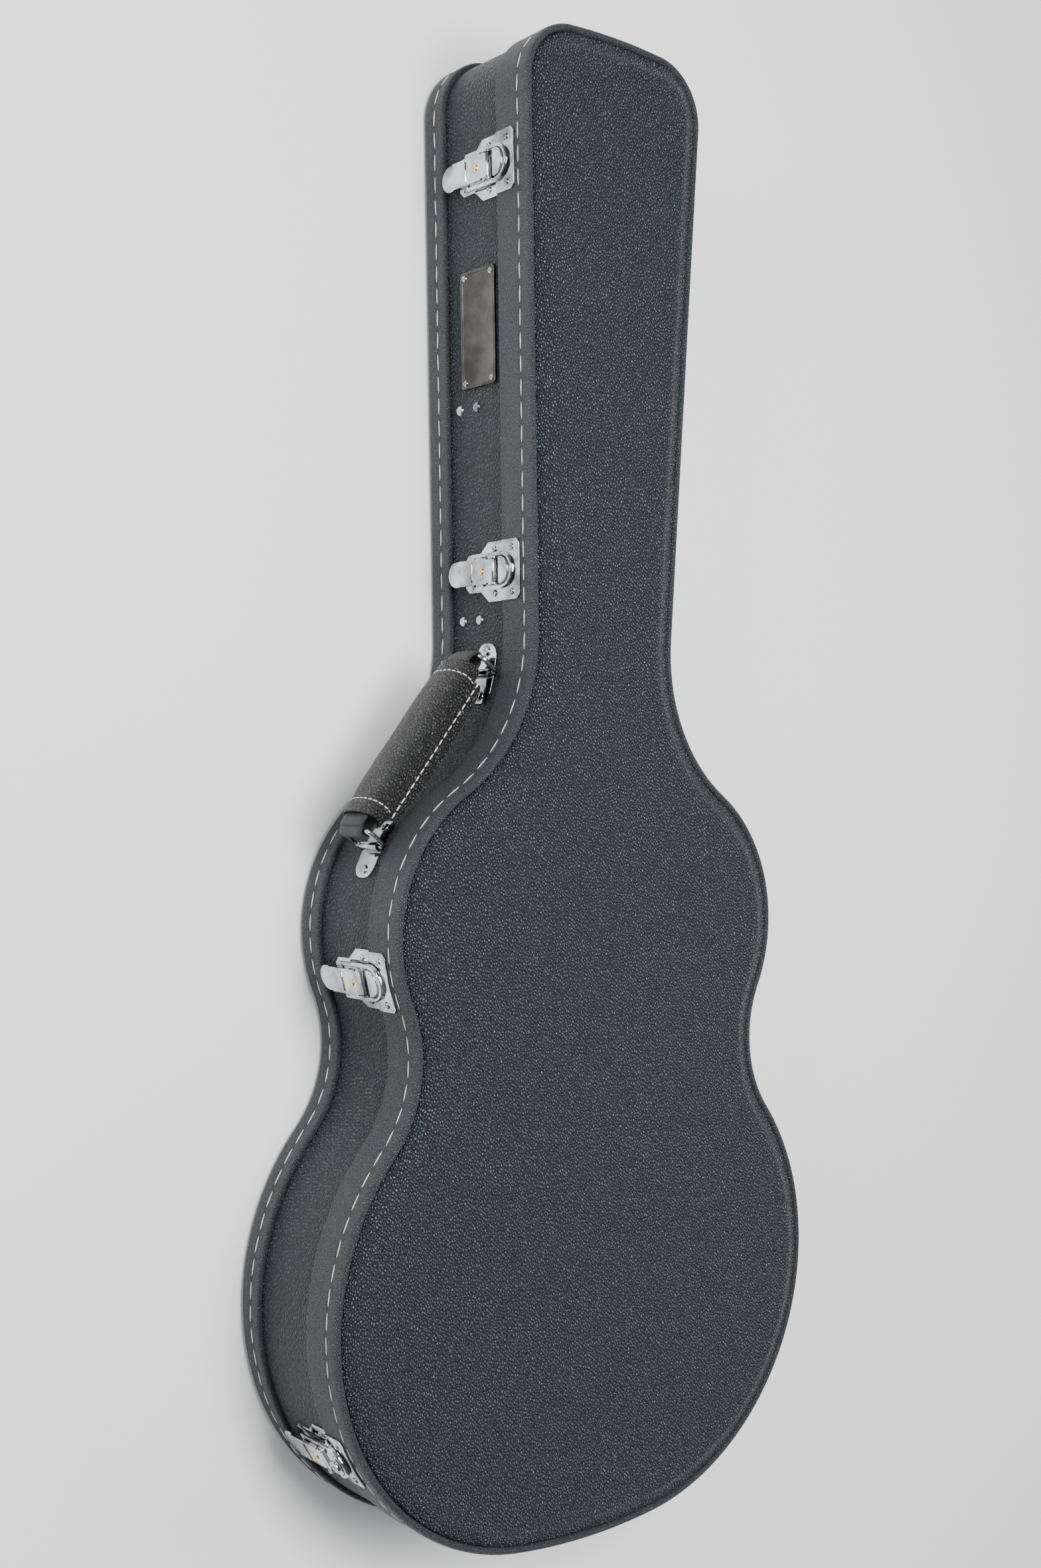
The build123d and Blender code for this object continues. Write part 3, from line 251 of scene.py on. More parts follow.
def joined(tree, kind, **sources):
    """A new node with its input sockets linked by name, with _ for a space."""
    node = tree.nodes.new(kind)
    for key, source in sources.items():
        link(tree, source, node.inputs[key.replace("_", " ")])
    return node


def object_place(tree):
    """Where each point of the surface is, in metres."""
    return tree.nodes.new("ShaderNodeTexCoord").outputs["Object"]


def cloud(tree, place, **values):
    """A noise texture read at the given place."""
    return put(joined(tree, "ShaderNodeTexNoise", Vector=place), **values)


def turned_place(tree, place, turn, scale):
    """The place turned and stretched, for a pattern that runs one way."""
    return put(joined(tree, "ShaderNodeMapping", Vector=place), Rotation=turn, Scale=scale).outputs[0]


def cell_distance(tree, place, feature):
    """Distance within leather cells: to a cell's edge, or to its middle."""
    node = put(joined(tree, "ShaderNodeTexVoronoi", Vector=place), Scale=1.0, Randomness=0.78)
    node.feature = feature
    return node.outputs["Distance"]


def group_shell(name, inputs, outputs):
    """An empty shader group with float inputs and the given outputs."""
    tree = bpy.data.node_groups.new(name, "ShaderNodeTree")
    for label, value in inputs:
        socket = tree.interface.new_socket(name=label, in_out="INPUT", socket_type="NodeSocketFloat")
        socket.default_value = value
    for label, kind in outputs:
        tree.interface.new_socket(name=label, in_out="OUTPUT", socket_type=kind)
    return tree, tree.nodes.new("NodeGroupInput"), tree.nodes.new("NodeGroupOutput")


def math_node(tree, operation, *values):
    """Arithmetic on sockets and plain numbers."""
    node = tree.nodes.new("ShaderNodeMath")
    node.operation = operation
    for index, value in enumerate(values):
        if isinstance(value, (int, float)):
            node.inputs[index].default_value = value
        else:
            link(tree, value, node.inputs[index])
    return node.outputs[0]


def vector_node(tree, operation, first, second):
    """Arithmetic on a vector and a plain vector or a socket, which for SCALE is a number's."""
    node = tree.nodes.new("ShaderNodeVectorMath")
    node.operation = operation
    link(tree, first, node.inputs[0])
    if isinstance(second, tuple):
        node.inputs[1].default_value = second
    else:
        link(tree, second, node.inputs["Scale" if operation == "SCALE" else 1])
    return node.outputs[0]


def range_node(tree, value, low, high):
    """A soft step from 0 at low to 1 at high."""
    node = put(joined(tree, "ShaderNodeMapRange", Value=value), From_Min=low, From_Max=high)
    node.interpolation_type = "SMOOTHSTEP"
    return node.outputs["Result"]


def grain_group():
    """Embossed leather grain: worm-like cells between fine creases, and slow unevenness."""
    tree, entry, leave = group_shell(
        "leather grain",
        [("Cell Scale", 400.0), ("Warp", 0.6), ("Crease Width", 0.3)],
        [("Height", "NodeSocketFloat"), ("Crease", "NodeSocketFloat"), ("Unevenness", "NodeSocketFloat")],
    )
    place = object_place(tree)
    scaled = vector_node(tree, "SCALE", place, entry.outputs["Cell Scale"])
    swirl = cloud(tree, scaled, Scale=0.55, Detail=1.0, Roughness=0.4)
    centred = vector_node(tree, "SUBTRACT", swirl.outputs["Color"], (0.5, 0.5, 0.5))
    pushed = vector_node(tree, "SCALE", centred, math_node(tree, "MULTIPLY", entry.outputs["Warp"], 4.0))
    bent = vector_node(tree, "ADD", scaled, pushed)
    squeezed = turned_place(tree, bent, (0.3, 0.25, math.radians(32)), (1.0, 0.66, 1.0))
    to_edge = cell_distance(tree, squeezed, "DISTANCE_TO_EDGE")
    crown = range_node(tree, math_node(tree, "DIVIDE", to_edge, entry.outputs["Crease Width"]), 0.0, 1.0)
    to_middle = cell_distance(tree, squeezed, "F1")
    dome = math_node(tree, "MULTIPLY_ADD", math_node(tree, "MULTIPLY", to_middle, to_middle), -1.3, crown)
    fine = cloud(tree, scaled, Scale=2.6, Detail=2.0, Roughness=0.6)
    link(tree, math_node(tree, "MULTIPLY_ADD", fine.outputs["Fac"], 0.15, dome), leave.inputs["Height"])
    link(tree, math_node(tree, "SUBTRACT", 1.0, crown), leave.inputs["Crease"])
    slow = cloud(tree, place, Scale=6.0, Detail=3.0, Roughness=0.55)
    link(tree, slow.outputs["Fac"], leave.inputs["Unevenness"])
    return tree


def wear_and_reflection_group():
    """Marks of use: patches that shine from touch, and hairline scratches; on the nickel the patches also carry a
    painted dark reflection.
    """
    tree, entry, leave = group_shell(
        "wear and painted reflection marks",
        [("Patch Scale", 14.0), ("Scratch Scale", 90.0)],
        [("Patches", "NodeSocketFloat"), ("Scratches", "NodeSocketFloat")],
    )
    place = object_place(tree)
    patches = cloud(tree, place, Detail=4.0, Roughness=0.6)
    drawn_out = turned_place(tree, place, (0.4, 0.2, 0.7), (1.0, 14.0, 5.0))
    scratches = cloud(tree, drawn_out, Detail=3.0, Roughness=0.7)
    link(tree, entry.outputs["Patch Scale"], patches.inputs["Scale"])
    link(tree, entry.outputs["Scratch Scale"], scratches.inputs["Scale"])
    link(tree, range_node(tree, patches.outputs["Fac"], 0.35, 0.7), leave.inputs["Patches"])
    link(tree, range_node(tree, scratches.outputs["Fac"], 0.58, 0.72), leave.inputs["Scratches"])
    return tree


GRAIN = grain_group()
WEAR_AND_REFLECTION_MARKS = wear_and_reflection_group()


def placed_group(tree, group, **values):
    node = tree.nodes.new("ShaderNodeGroup")
    node.node_tree = group
    return put(node, **values)


def blend_colour(tree, mask, first, second):
    """Mixes two colours by a mask; the first may be another mix."""
    node = tree.nodes.new("ShaderNodeMix")
    node.data_type = "RGBA"
    link(tree, mask, node.inputs[0])
    for index, value in ((6, first), (7, second)):
        if isinstance(value, tuple):
            node.inputs[index].default_value = (*value, 1.0)
        else:
            link(tree, value, node.inputs[index])
    return node.outputs[2]


def raised(tree, height, distance, strength, below=None):
    """A bump by the given height, on top of another bump where there is one."""
    node = put(joined(tree, "ShaderNodeBump", Height=height), Strength=strength, Distance=distance)
    if below is not None:
        link(tree, below, node.inputs["Normal"])
    return node.outputs["Normal"]


WORN_SHADES = (1.22, 1.14, 1.08)


def leatherette(name, cells, crown, crease, depth, rough, warp=0.6, width=0.3):
    """Grained vinyl: crowns catch the light; the creases are painted dark as painted shade, and are duller."""
    material, tree, shader = new_material(name)
    grain = placed_group(tree, GRAIN, Cell_Scale=cells, Warp=warp, Crease_Width=width)
    marks = placed_group(tree, WEAR_AND_REFLECTION_MARKS, Patch_Scale=5.0, Scratch_Scale=60.0)
    worn = tuple(part * shade for part, shade in zip(crown, WORN_SHADES))
    rubbed = blend_colour(tree, math_node(tree, "MULTIPLY", marks.outputs["Patches"], 0.7), crown, worn)
    # The crease colour laid in along the grain's creases is painted shade.
    link(tree, blend_colour(tree, grain.outputs["Crease"], rubbed, crease), shader.inputs["Base Color"])
    dull = math_node(tree, "MULTIPLY_ADD", grain.outputs["Crease"], 0.16, rough)
    polished = math_node(tree, "MULTIPLY_ADD", marks.outputs["Patches"], -0.04, dull)
    link(tree, polished, shader.inputs["Roughness"])
    swell = raised(tree, grain.outputs["Unevenness"], distance=0.0016, strength=0.35)
    grained = raised(tree, grain.outputs["Height"], distance=depth, strength=0.85, below=swell)
    link(tree, grained, shader.inputs["Normal"])
    put(shader, Specular_IOR_Level=0.5, IOR=1.5)
    return material


def plated(name, bright, tarnish_and_dark_reflection, rough):
    """Plated metal with faint scratches and slightly duller patches in a darker colour: tarnish, and on the nickel
    a painted dark reflection.
    """
    material, tree, shader = new_material(name)
    marks = placed_group(tree, WEAR_AND_REFLECTION_MARKS, Patch_Scale=45.0, Scratch_Scale=220.0)
    # The patches take the darker colour: tarnish, and on the nickel a painted dark reflection.
    link(tree, blend_colour(tree, marks.outputs["Patches"], bright, tarnish_and_dark_reflection), shader.inputs["Base Color"])
    scratched = math_node(tree, "MULTIPLY_ADD", marks.outputs["Scratches"], 0.10, rough)
    dull = math_node(tree, "MULTIPLY_ADD", marks.outputs["Patches"], 0.05, scratched)
    link(tree, dull, shader.inputs["Roughness"])
    dents = cloud(tree, object_place(tree), Scale=75.0, Detail=1.0, Roughness=0.4)
    pressed = raised(tree, dents.outputs["Fac"], distance=0.0014, strength=0.3)
    cut = raised(tree, marks.outputs["Scratches"], distance=0.00002, strength=0.25, below=pressed)
    link(tree, cut, shader.inputs["Normal"])
    put(shader, Metallic=1.0)
    return material


def mottled(name, dark, light, relief, strength, **texture):
    """A finish whose colour and relief both follow one fine noise."""
    material, tree, shader = new_material(name)
    speckle = cloud(tree, object_place(tree), **texture).outputs["Fac"]
    link(tree, blend_colour(tree, speckle, dark, light), shader.inputs["Base Color"])
    link(tree, raised(tree, speckle, relief, strength), shader.inputs["Normal"])
    return material, shader


def thread_material():
    """Twisted off-white polyester thread."""
    material, shader = mottled("off-white thread", (0.62, 0.6, 0.55), (0.9, 0.89, 0.85), 0.00015, 0.6,
                               Scale=1500.0, Detail=2.0, Roughness=0.6)
    put(shader, Roughness=0.7, Sheen_Weight=0.25, Sheen_Roughness=0.5)
    return material


def plush_material(name, dark, light):
    """Short pile: a soft nap in patches over a fine fibre noise, with sheen."""
    material, tree, shader = new_material(name)
    place = object_place(tree)
    nap = cloud(tree, place, Scale=16.0, Detail=3.0, Roughness=0.6).outputs["Fac"]
    fibre = cloud(tree, place, Scale=1400.0, Detail=2.0, Roughness=0.7).outputs["Fac"]
    amount = range_node(tree, math_node(tree, "MULTIPLY_ADD", fibre, 0.5, nap), 0.1, 1.5)
    link(tree, blend_colour(tree, amount, dark, light), shader.inputs["Base Color"])
    lumps = raised(tree, nap, distance=0.002, strength=0.35)
    pile = raised(tree, fibre, distance=0.0006, strength=0.8, below=lumps)
    link(tree, pile, shader.inputs["Normal"])
    put(shader, Roughness=0.95, Specular_IOR_Level=0.2, Sheen_Weight=0.7, Sheen_Roughness=0.35,
        Sheen_Tint=(*light, 1.0))
    return material


def webbing_material():
    """Ribbed woven strap on the piece's own UV map, which counts ribs along and across."""
    material, tree, shader = new_material("black webbing")
    lay = tree.nodes.new("ShaderNodeUVMap")
    lay.uv_map = "weave"
    ribs = tree.nodes.new("ShaderNodeSeparateXYZ")
    link(tree, lay.outputs["UV"], ribs.inputs[0])
    along, across = (math_node(tree, "SINE", math_node(tree, "MULTIPLY", count, 2 * math.pi))
                     for count in (ribs.outputs[0], ribs.outputs[1]))
    weave = math_node(tree, "MULTIPLY_ADD", math_node(tree, "MULTIPLY", along, across), 0.5, 0.5)
    colour = blend_colour(tree, weave, (0.002, 0.002, 0.0025), (0.018, 0.0185, 0.021))
    link(tree, colour, shader.inputs["Base Color"])
    link(tree, raised(tree, weave, distance=0.0004, strength=0.9), shader.inputs["Normal"])
    put(shader, Roughness=0.5, Sheen_Weight=0.05)
    return material


def rubber_material():
    """Dusty moulded rubber."""
    material, shader = mottled("moulded rubber", (0.012, 0.012, 0.013), (0.03, 0.03, 0.031), 0.0002, 0.5,
                               Scale=300.0, Detail=4.0, Roughness=0.7)
    put(shader, Roughness=0.6)
    return material


# Each skin's crease colour is painted shade in the grain's creases, near black on the coarse and grip skins.
DEEP_CREASE_SHADE = (0.001, 0.0015, 0.002)
# The side skin and the lid skin are shaded and lit copies of one coarse leatherette: the side's darker crowns are
# painted shade on the walls and back.
SHADED_SIDE_SKIN = leatherette("coarse leatherette", cells=560.0, crown=(0.022, 0.037, 0.056), crease=DEEP_CREASE_SHADE,
                        depth=0.0011, rough=0.36, warp=0.2, width=0.34)
LID_SKIN = leatherette("coarse leatherette lid", cells=600.0, crown=(0.050, 0.070, 0.092), crease=DEEP_CREASE_SHADE,
                       depth=0.0010, rough=0.30, warp=0.2, width=0.36)
BAND_SKIN = leatherette("fine leatherette", cells=900.0, crown=(0.040, 0.052, 0.064), crease=(0.010, 0.013, 0.016),
                        depth=0.0005, rough=0.42, warp=0.3)
GRIP_SKIN = leatherette("grip leatherette", cells=520.0, crown=(0.030, 0.030, 0.031), crease=(0.001, 0.001, 0.0015),
                        depth=0.001, rough=0.33, warp=0.2, width=0.36)
TAB_SKIN = leatherette("smooth tab leather", cells=1300.0, crown=(0.03, 0.026, 0.022), crease=(0.012, 0.010, 0.009),
                       depth=0.0001, rough=0.5)
# The nickel's dark patch colour is a painted dark reflection.
NICKEL = plated("bright nickel", bright=(0.62, 0.63, 0.65), tarnish_and_dark_reflection=(0.15, 0.155, 0.17), rough=0.06)
STEEL = plated("satin steel", bright=(0.58, 0.58, 0.58), tarnish_and_dark_reflection=(0.46, 0.46, 0.47), rough=0.3)
BRASS = plated("polished brass", bright=(0.87, 0.62, 0.22), tarnish_and_dark_reflection=(0.72, 0.48, 0.16), rough=0.16)
PLATE_METAL = plated("dark bronze plate", bright=(0.082, 0.077, 0.070), tarnish_and_dark_reflection=(0.040, 0.038, 0.035), rough=0.18)
THREAD = thread_material()
PLUSH = plush_material("charcoal plush", (0.012, 0.013, 0.016), (0.06, 0.065, 0.075))
WEBBING = webbing_material()
RUBBER = rubber_material()


# Geometry Nodes that set stitches and rivets out
def nodes_tree(name, inputs):
    """An empty geometry tree, its entry and exit, and the identifiers of its named inputs."""
    tree = bpy.data.node_groups.new(name, "GeometryNodeTree")
    tree.interface.new_socket(name="Geometry", in_out="INPUT", socket_type="NodeSocketGeometry")
    identifiers = {}
    for label, kind, value in inputs:
        socket = tree.interface.new_socket(name=label, in_out="INPUT", socket_type=kind)
        if value is not None:
            socket.default_value = value
        identifiers[label] = socket.identifier
    tree.interface.new_socket(name="Geometry", in_out="OUTPUT", socket_type="NodeSocketGeometry")
    return tree, tree.nodes.new("NodeGroupInput"), tree.nodes.new("NodeGroupOutput"), identifiers


def send_out(tree, entry, leave, instances):
    """Makes the instances real and gives them the tree's material."""
    real = joined(tree, "GeometryNodeRealizeInstances", Geometry=instances)
    paint = joined(tree, "GeometryNodeSetMaterial", Geometry=real.outputs["Geometry"],
                   Material=entry.outputs["Material"])
    link(tree, paint.outputs["Geometry"], leave.inputs["Geometry"])


def aligned(tree, axis, vector, rotation=None, pivot="AUTO"):
    """A rotation that turns one axis towards a vector."""
    node = joined(tree, "FunctionNodeAlignRotationToVector", Vector=vector)
    node.axis = axis
    node.pivot_axis = pivot
    if rotation is not None:
        link(tree, rotation, node.inputs["Rotation"])
    return node.outputs["Rotation"]


def outward_field(tree):
    """The direction away from the surface that a guide's points carry."""
    node = put(tree.nodes.new("GeometryNodeInputNamedAttribute"), Name="outward")
    node.data_type = "FLOAT_VECTOR"
    return node.outputs["Attribute"]


def stitching_tree():
    """A line of stitches on a path: each is a short bead of thread sunk at both ends."""
    tree, entry, leave, ids = nodes_tree("stitching", [
        ("Pitch", "NodeSocketFloat", 0.0158), ("Length", "NodeSocketFloat", 0.0124),
        ("Width", "NodeSocketFloat", 0.0009), ("Tilt", "NodeSocketFloat", 0.05),
        ("Seed", "NodeSocketInt", 3), ("Material", "NodeSocketMaterial", None),
    ])
    path = joined(tree, "GeometryNodeMeshToCurve", Mesh=entry.outputs["Geometry"])
    spaced = tree.nodes.new("GeometryNodeResampleCurve")
    spaced.mode = "LENGTH"
    link(tree, path.outputs["Curve"], spaced.inputs["Curve"])
    link(tree, entry.outputs["Pitch"], spaced.inputs["Length"])
    bead = put(tree.nodes.new("GeometryNodeMeshUVSphere"), Segments=8, Rings=6, Radius=0.5)
    size = joined(tree, "ShaderNodeCombineXYZ", X=entry.outputs["Length"], Y=entry.outputs["Width"],
                  Z=entry.outputs["Width"])
    shaped = joined(tree, "GeometryNodeTransform", Geometry=bead.outputs["Mesh"], Scale=size.outputs[0])
    stitch = joined(tree, "GeometryNodeSetShadeSmooth", Geometry=shaped.outputs["Geometry"])
    tangent = tree.nodes.new("GeometryNodeInputTangent")
    lying = aligned(tree, "X", tangent.outputs["Tangent"])
    facing = aligned(tree, "Z", outward_field(tree), lying, "X")
    chance = joined(tree, "FunctionNodeRandomValue", Seed=entry.outputs["Seed"])
    least, most = [socket for socket in chance.inputs if socket.type == "VALUE"][:2]
    link(tree, math_node(tree, "MULTIPLY", entry.outputs["Tilt"], -1.0), least)
    link(tree, entry.outputs["Tilt"], most)
    drawn = next(socket for socket in chance.outputs if socket.type == "VALUE")
    spin = put(joined(tree, "FunctionNodeAxisAngleToRotation", Angle=drawn), Axis=(0, 0, 1))
    turned = joined(tree, "FunctionNodeRotateRotation", Rotation=facing, Rotate_By=spin.outputs["Rotation"])
    turned.rotation_space = "LOCAL"
    placed = joined(tree, "GeometryNodeInstanceOnPoints", Points=spaced.outputs["Curve"],
                    Instance=stitch.outputs["Geometry"], Rotation=turned.outputs["Rotation"])
    send_out(tree, entry, leave, placed.outputs["Instances"])
    return tree, ids


def heads_tree():
    """A fastener head on every point, turned to face the point's outward direction."""
    tree, entry, leave, ids = nodes_tree("fastener heads", [
        ("Head", "NodeSocketObject", None), ("Material", "NodeSocketMaterial", None),
    ])
    head = joined(tree, "GeometryNodeObjectInfo", Object=entry.outputs["Head"])
    placed = joined(tree, "GeometryNodeInstanceOnPoints", Points=entry.outputs["Geometry"],
                    Instance=head.outputs["Geometry"], Rotation=aligned(tree, "Z", outward_field(tree)))
    send_out(tree, entry, leave, placed.outputs["Instances"])
    return tree, ids


STITCHING, STITCH_IDS = stitching_tree()
HEADS, HEAD_IDS = heads_tree()


def guide(name, points, ways, edges=()):
    """Loose points, or a line along the edges, that carry an outward direction."""
    mesh = bpy.data.meshes.new(name)
    mesh.from_pydata(points, edges, [])
    field = mesh.attributes.new("outward", "FLOAT_VECTOR", "POINT")
    field.data.foreach_set("vector", [part for way in ways for part in way])
    return new_object(name, mesh)


def run_tree(piece, tree, ids, **values):
    """Sets the tree's inputs by identifier and turns its result into the piece's mesh."""
    modifier = piece.modifiers.new(tree.name, "NODES")
    modifier.node_group = tree
    for label, value in values.items():
        modifier[ids[label]] = value
    bake_modifiers(piece)


def stitch_row(name, points, ways, body, closed=False, **sizes):
    """A row of stitches along the points."""
    count = len(points)
    edges = [(k, (k + 1) % count) for k in range(count if closed else count - 1)]
    piece = guide(name, points, ways, edges)
    run_tree(piece, STITCHING, STITCH_IDS, Material=THREAD, **sizes)
    piece.data.materials.clear()
    piece.data.materials.append(THREAD)
    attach(piece, body)


# Covering, bands and panels: profiles of (offset, height), with faces smoothed below CRISP_EDGE degrees
CRISP_EDGE = 50


def band_pieces():
    """The stitched bindings round the back and the lid."""
    back = [(0.0, 5.0), (0.0, 23.6), (0.9, 24.0), (2.1, 24.05), (3.0, 23.7), (3.6, 22.9), (3.8, 21.2),
            (3.75, 18.5), (3.55, 16.4), (3.25, 15.0), (3.15, 14.0), (3.25, 13.0), (3.55, 11.6), (3.6, 8.0),
            (3.5, 5.4), (3.1, 3.6), (2.3, 2.2), (1.2, 1.35), (0.0, 1.0), (-1.1, 1.05), (-1.7, 1.5), (-1.7, 5.0)]
    piece = smooth(swept("back_binding", back), CRISP_EDGE)
    finish_piece(piece, BAND_SKIN, "case", "fine_leatherette", "back_band")
    front = [(0.0, 83.2), (2.1, 83.15), (2.5, 83.5), (2.55, 86.0), (2.5, 100.0), (2.55, 104.2), (2.3, 105.6),
             (2.15, 106.4), (2.3, 107.2), (2.6, 108.8), (2.75, 111.5), (2.7, 114.0), (2.4, 115.8), (1.75, 117.1),
             (0.8, 117.85), (-0.2, 118.05), (-1.2, 117.8), (-2.1, 117.0), (-2.65, 115.8), (-2.8, 114.4),
             (-2.8, 112.0), (0.0, 112.0)]
    piece = smooth(swept("lid_binding", front), CRISP_EDGE)
    finish_piece(piece, BAND_SKIN, "lid", "fine_leatherette", "lid_band")
    ways = [(*way, 0.0) for _, way in PLAN]
    for name, body, offset, height in (("back_stitches", "case", 3.35, 14.0), ("lid_stitches", "lid", 2.35, 106.4)):
        points = [plan_point(row, offset, height) for row in PLAN]
        stitch_row(name, points, ways, body, closed=True, Seed=len(name))


def panel_pieces():
    """The padded top of the lid and the back."""
    top = [(-3.1, 112.0), (-3.1, 115.4), (-3.5, 116.7), (-4.6, 117.7), (-6.4, 118.6), (-8.8, 119.7), (-11.4, 120.9),
           (-13.6, 121.9), (-15.6, 122.6), (-18.0, 122.95), (-21.0, 122.85), (-26.0, 122.6), (-34.0, 122.5)]
    piece = smooth(swept("lid_top", top, closed=False, caps=True), CRISP_EDGE)
    finish_piece(piece, LID_SKIN, "lid", "coarse_leatherette", "lid_panel")
    under = [(-2.0, 5.0), (-2.0, 2.6), (-2.3, 1.5), (-3.1, 0.65), (-4.6, 0.15), (-7.0, 0.0), (-30.0, 0.0)]
    piece = smooth(swept("back_face", under, closed=False, caps=True), CRISP_EDGE)
    finish_piece(piece, SHADED_SIDE_SKIN, "case", "coarse_leatherette", "back_panel")


# Padding: remeshed from the CAD, relaxed and given the slight lumps of foam under pile, so many to a metre
BROAD_LUMPS, SMALL_LUMPS = 22.0, 60.0


def padded_piece(node, name, body, voxel, relax, lump, fill):
    """A padded piece; voxel and lump in millimetres. Fill is not used; it is None where the piece is a covered
    board.
    """
    piece = merged_copy(node, name)
    even = piece.modifiers.new("even", "REMESH")
    even.mode = "VOXEL"
    even.voxel_size = voxel * MM
    relaxed = piece.modifiers.new("relax", "SMOOTH")
    relaxed.iterations = relax
    relaxed.factor = 0.5
    bake_modifiers(piece)
    mesh = piece.data
    moved = np.empty(len(mesh.vertices) * 3, np.float32)
    mesh.vertices.foreach_get("co", moved)
    moved = moved.reshape(-1, 3)
    for index, vertex in enumerate(mesh.vertices):
        wave = noise.noise(vertex.co * BROAD_LUMPS) + 0.5 * noise.noise(vertex.co * SMALL_LUMPS)
        moved[index] -= np.array(vertex.normal) * (abs(wave) * lump * MM)
    mesh.vertices.foreach_set("co", moved.ravel())
    mesh.update()
    smooth(piece)
    finish_piece(piece, PLUSH, body, "plush", node)


def lining_pieces():
    """Node, piece, body, voxel, rounds of relaxing, lump and fill of everything under plush."""
    for row in (
        ("bout_lining", "bout_padding", "case", 4.0, 5, 0.9, 0.9),
        ("head_lining", "head_padding", "case", 3.2, 5, 0.9, 0.9),
        ("lid_lining", "lid_padding", "lid", 4.0, 5, 0.9, 0.9),
        ("lower_neck_pad", "lower_neck_cushion", "case", 1.0, 3, 0.3, 0.8),
        ("upper_neck_pad", "upper_neck_cushion", "case", 1.0, 3, 0.3, 0.8),
        ("lower_divider", "lower_cross_wall", "case", 1.8, 3, 0.25, None),
        ("upper_divider", "upper_cross_wall", "case", 1.8, 3, 0.25, None),
        ("compartment_floor", "compartment_base", "case", 1.4, 2, 0.2, None),
        ("compartment_lid", "compartment_cover", "compartment", 1.5, 3, 0.25, None),
    ):
        padded_piece(*row)


# Metalwork: the CAD shapes with eased edges
def eased_piece(node, material, body, slot, width, segments=2):
    """A CAD node's shape with its edges rounded by width, in millimetres."""
    piece = merged_copy(node, node + "_finished")
    edge = piece.modifiers.new("edge", "BEVEL")
    edge.width = width * MM
    edge.segments = segments
    edge.limit_method = "ANGLE"
    edge.angle_limit = math.radians(32)
    edge.use_clamp_overlap = True
    bake_modifiers(piece)
    smooth(piece, 34)
    finish_piece(piece, material, body, slot, node)


def metal_pieces():
    """The hard parts, eased where their edges show and only painted where they are thin."""
    for number in range(1, 5):
        for part, body, width in (("base", "case", 0.28), ("catch", "lid", 0.28), ("lever", f"lever_{number}", 0.3),
                                  ("loop", f"loop_{number}", 0.3)):
            eased_piece(f"latch_{number}_{part}", NICKEL, body, "nickel", width)
    for node, body, width in (("latch_4_lock", "lid", 0.15), ("hinge_body_leaves", "case", 0.25),
                              ("hinge_lid_leaves", "lid", 0.25), ("upper_bracket", "case", 0.25),
                              ("lower_bracket", "case", 0.25)):
        eased_piece(node, NICKEL, body, "nickel", width)
    eased_piece("name_plate", PLATE_METAL, "case", "plate_metal", 0.3)
    eased_piece("feet", RUBBER, "case", "foot_rubber", 0.9, 3)
    eased_piece("compartment_tab", TAB_SKIN, "compartment", "tab_leather", 0.5)
    for node in ("hinge_pins", "lever_pins", "upper_ring", "lower_ring"):
        paint_node(node, NICKEL)
    for node in ("compartment_hinge_pin", "compartment_hinge_fixed", "compartment_hinge_moving"):
        paint_node(node, STEEL)


def paint_node(node, material):
    """Gives a CAD node, kept as it is, a finish."""
    slots = NODES[node].data.materials
    slots.clear()
    slots.append(material)


def turned_head(name, profile, recess_reach=0.0, recess_depth=0.0, around=40):
    """A head turned from (radius, height) points, with a cross recess of the given reach and depth."""
    def build(shape):
        rings = []
        for radius, height in profile:
            ring = []
            for k in range(around):
                angle = 2 * math.pi * k / around
                sunk = recess_depth if radius < recess_reach and k % (around // 4) == 0 else 0.0
                spot = (radius * MM * math.cos(angle), radius * MM * math.sin(angle), (height - sunk) * MM)
                ring.append(shape.verts.new(spot))
            rings.append(ring)
        bridge(shape, rings)
        shape.faces.new(list(reversed(rings[0])))
        shape.faces.new(rings[-1])
    return smooth(mesh_from(name, build), 60)


def separate_solids(shape):
    """The vertices of each separate solid of a bmesh."""
    seen, solids = set(), []
    for start in shape.verts:
        if start in seen:
            continue
        solid, waiting = [], [start]
        seen.add(start)
        while waiting:
            vertex = waiting.pop()
            solid.append(vertex)
            for edge in vertex.link_edges:
                other = edge.other_vert(vertex)
                if other not in seen:
                    seen.add(other)
                    waiting.append(other)
        solids.append(solid)
    return solids


def head_place(solid):
    """The middle of a fastener's widest ring, and the way its head faces."""
    ways = {}
    for face in dict.fromkeys(face for vertex in solid for face in vertex.link_faces):
        ways.setdefault(tuple(round(part, 2) for part in face.normal), []).append(face)
    axis = max(ways.values(), key=lambda faces: sum(face.calc_area() for face in faces))[0].normal.copy()
    middle = sum((vertex.co for vertex in solid), Vector()) / len(solid)
    heights = [vertex.co.dot(axis) for vertex in solid]
    spread = {}
    for vertex, height in zip(solid, heights):
        across = (vertex.co - middle) - axis * (vertex.co - middle).dot(axis)
        spread.setdefault(round(height, 5), []).append(across.length)
    level = max(spread, key=lambda height: max(spread[height]))
    if abs(level - min(heights)) < abs(max(heights) - level):
        axis, level = -axis, -level
    return middle + axis * (level - middle.dot(axis)), axis


def place_heads(node, name, head, material, body, slot):
    """Puts a copy of the head in the place of each solid of a fastener node."""
    shape = merged_shape(node)
    points, ways = zip(*(head_place(solid) for solid in separate_solids(shape)))
    shape.free()
    piece = guide(name, points, ways)
    run_tree(piece, HEADS, HEAD_IDS, Head=head, Material=material)
    finish_piece(piece, material, body, slot, node)


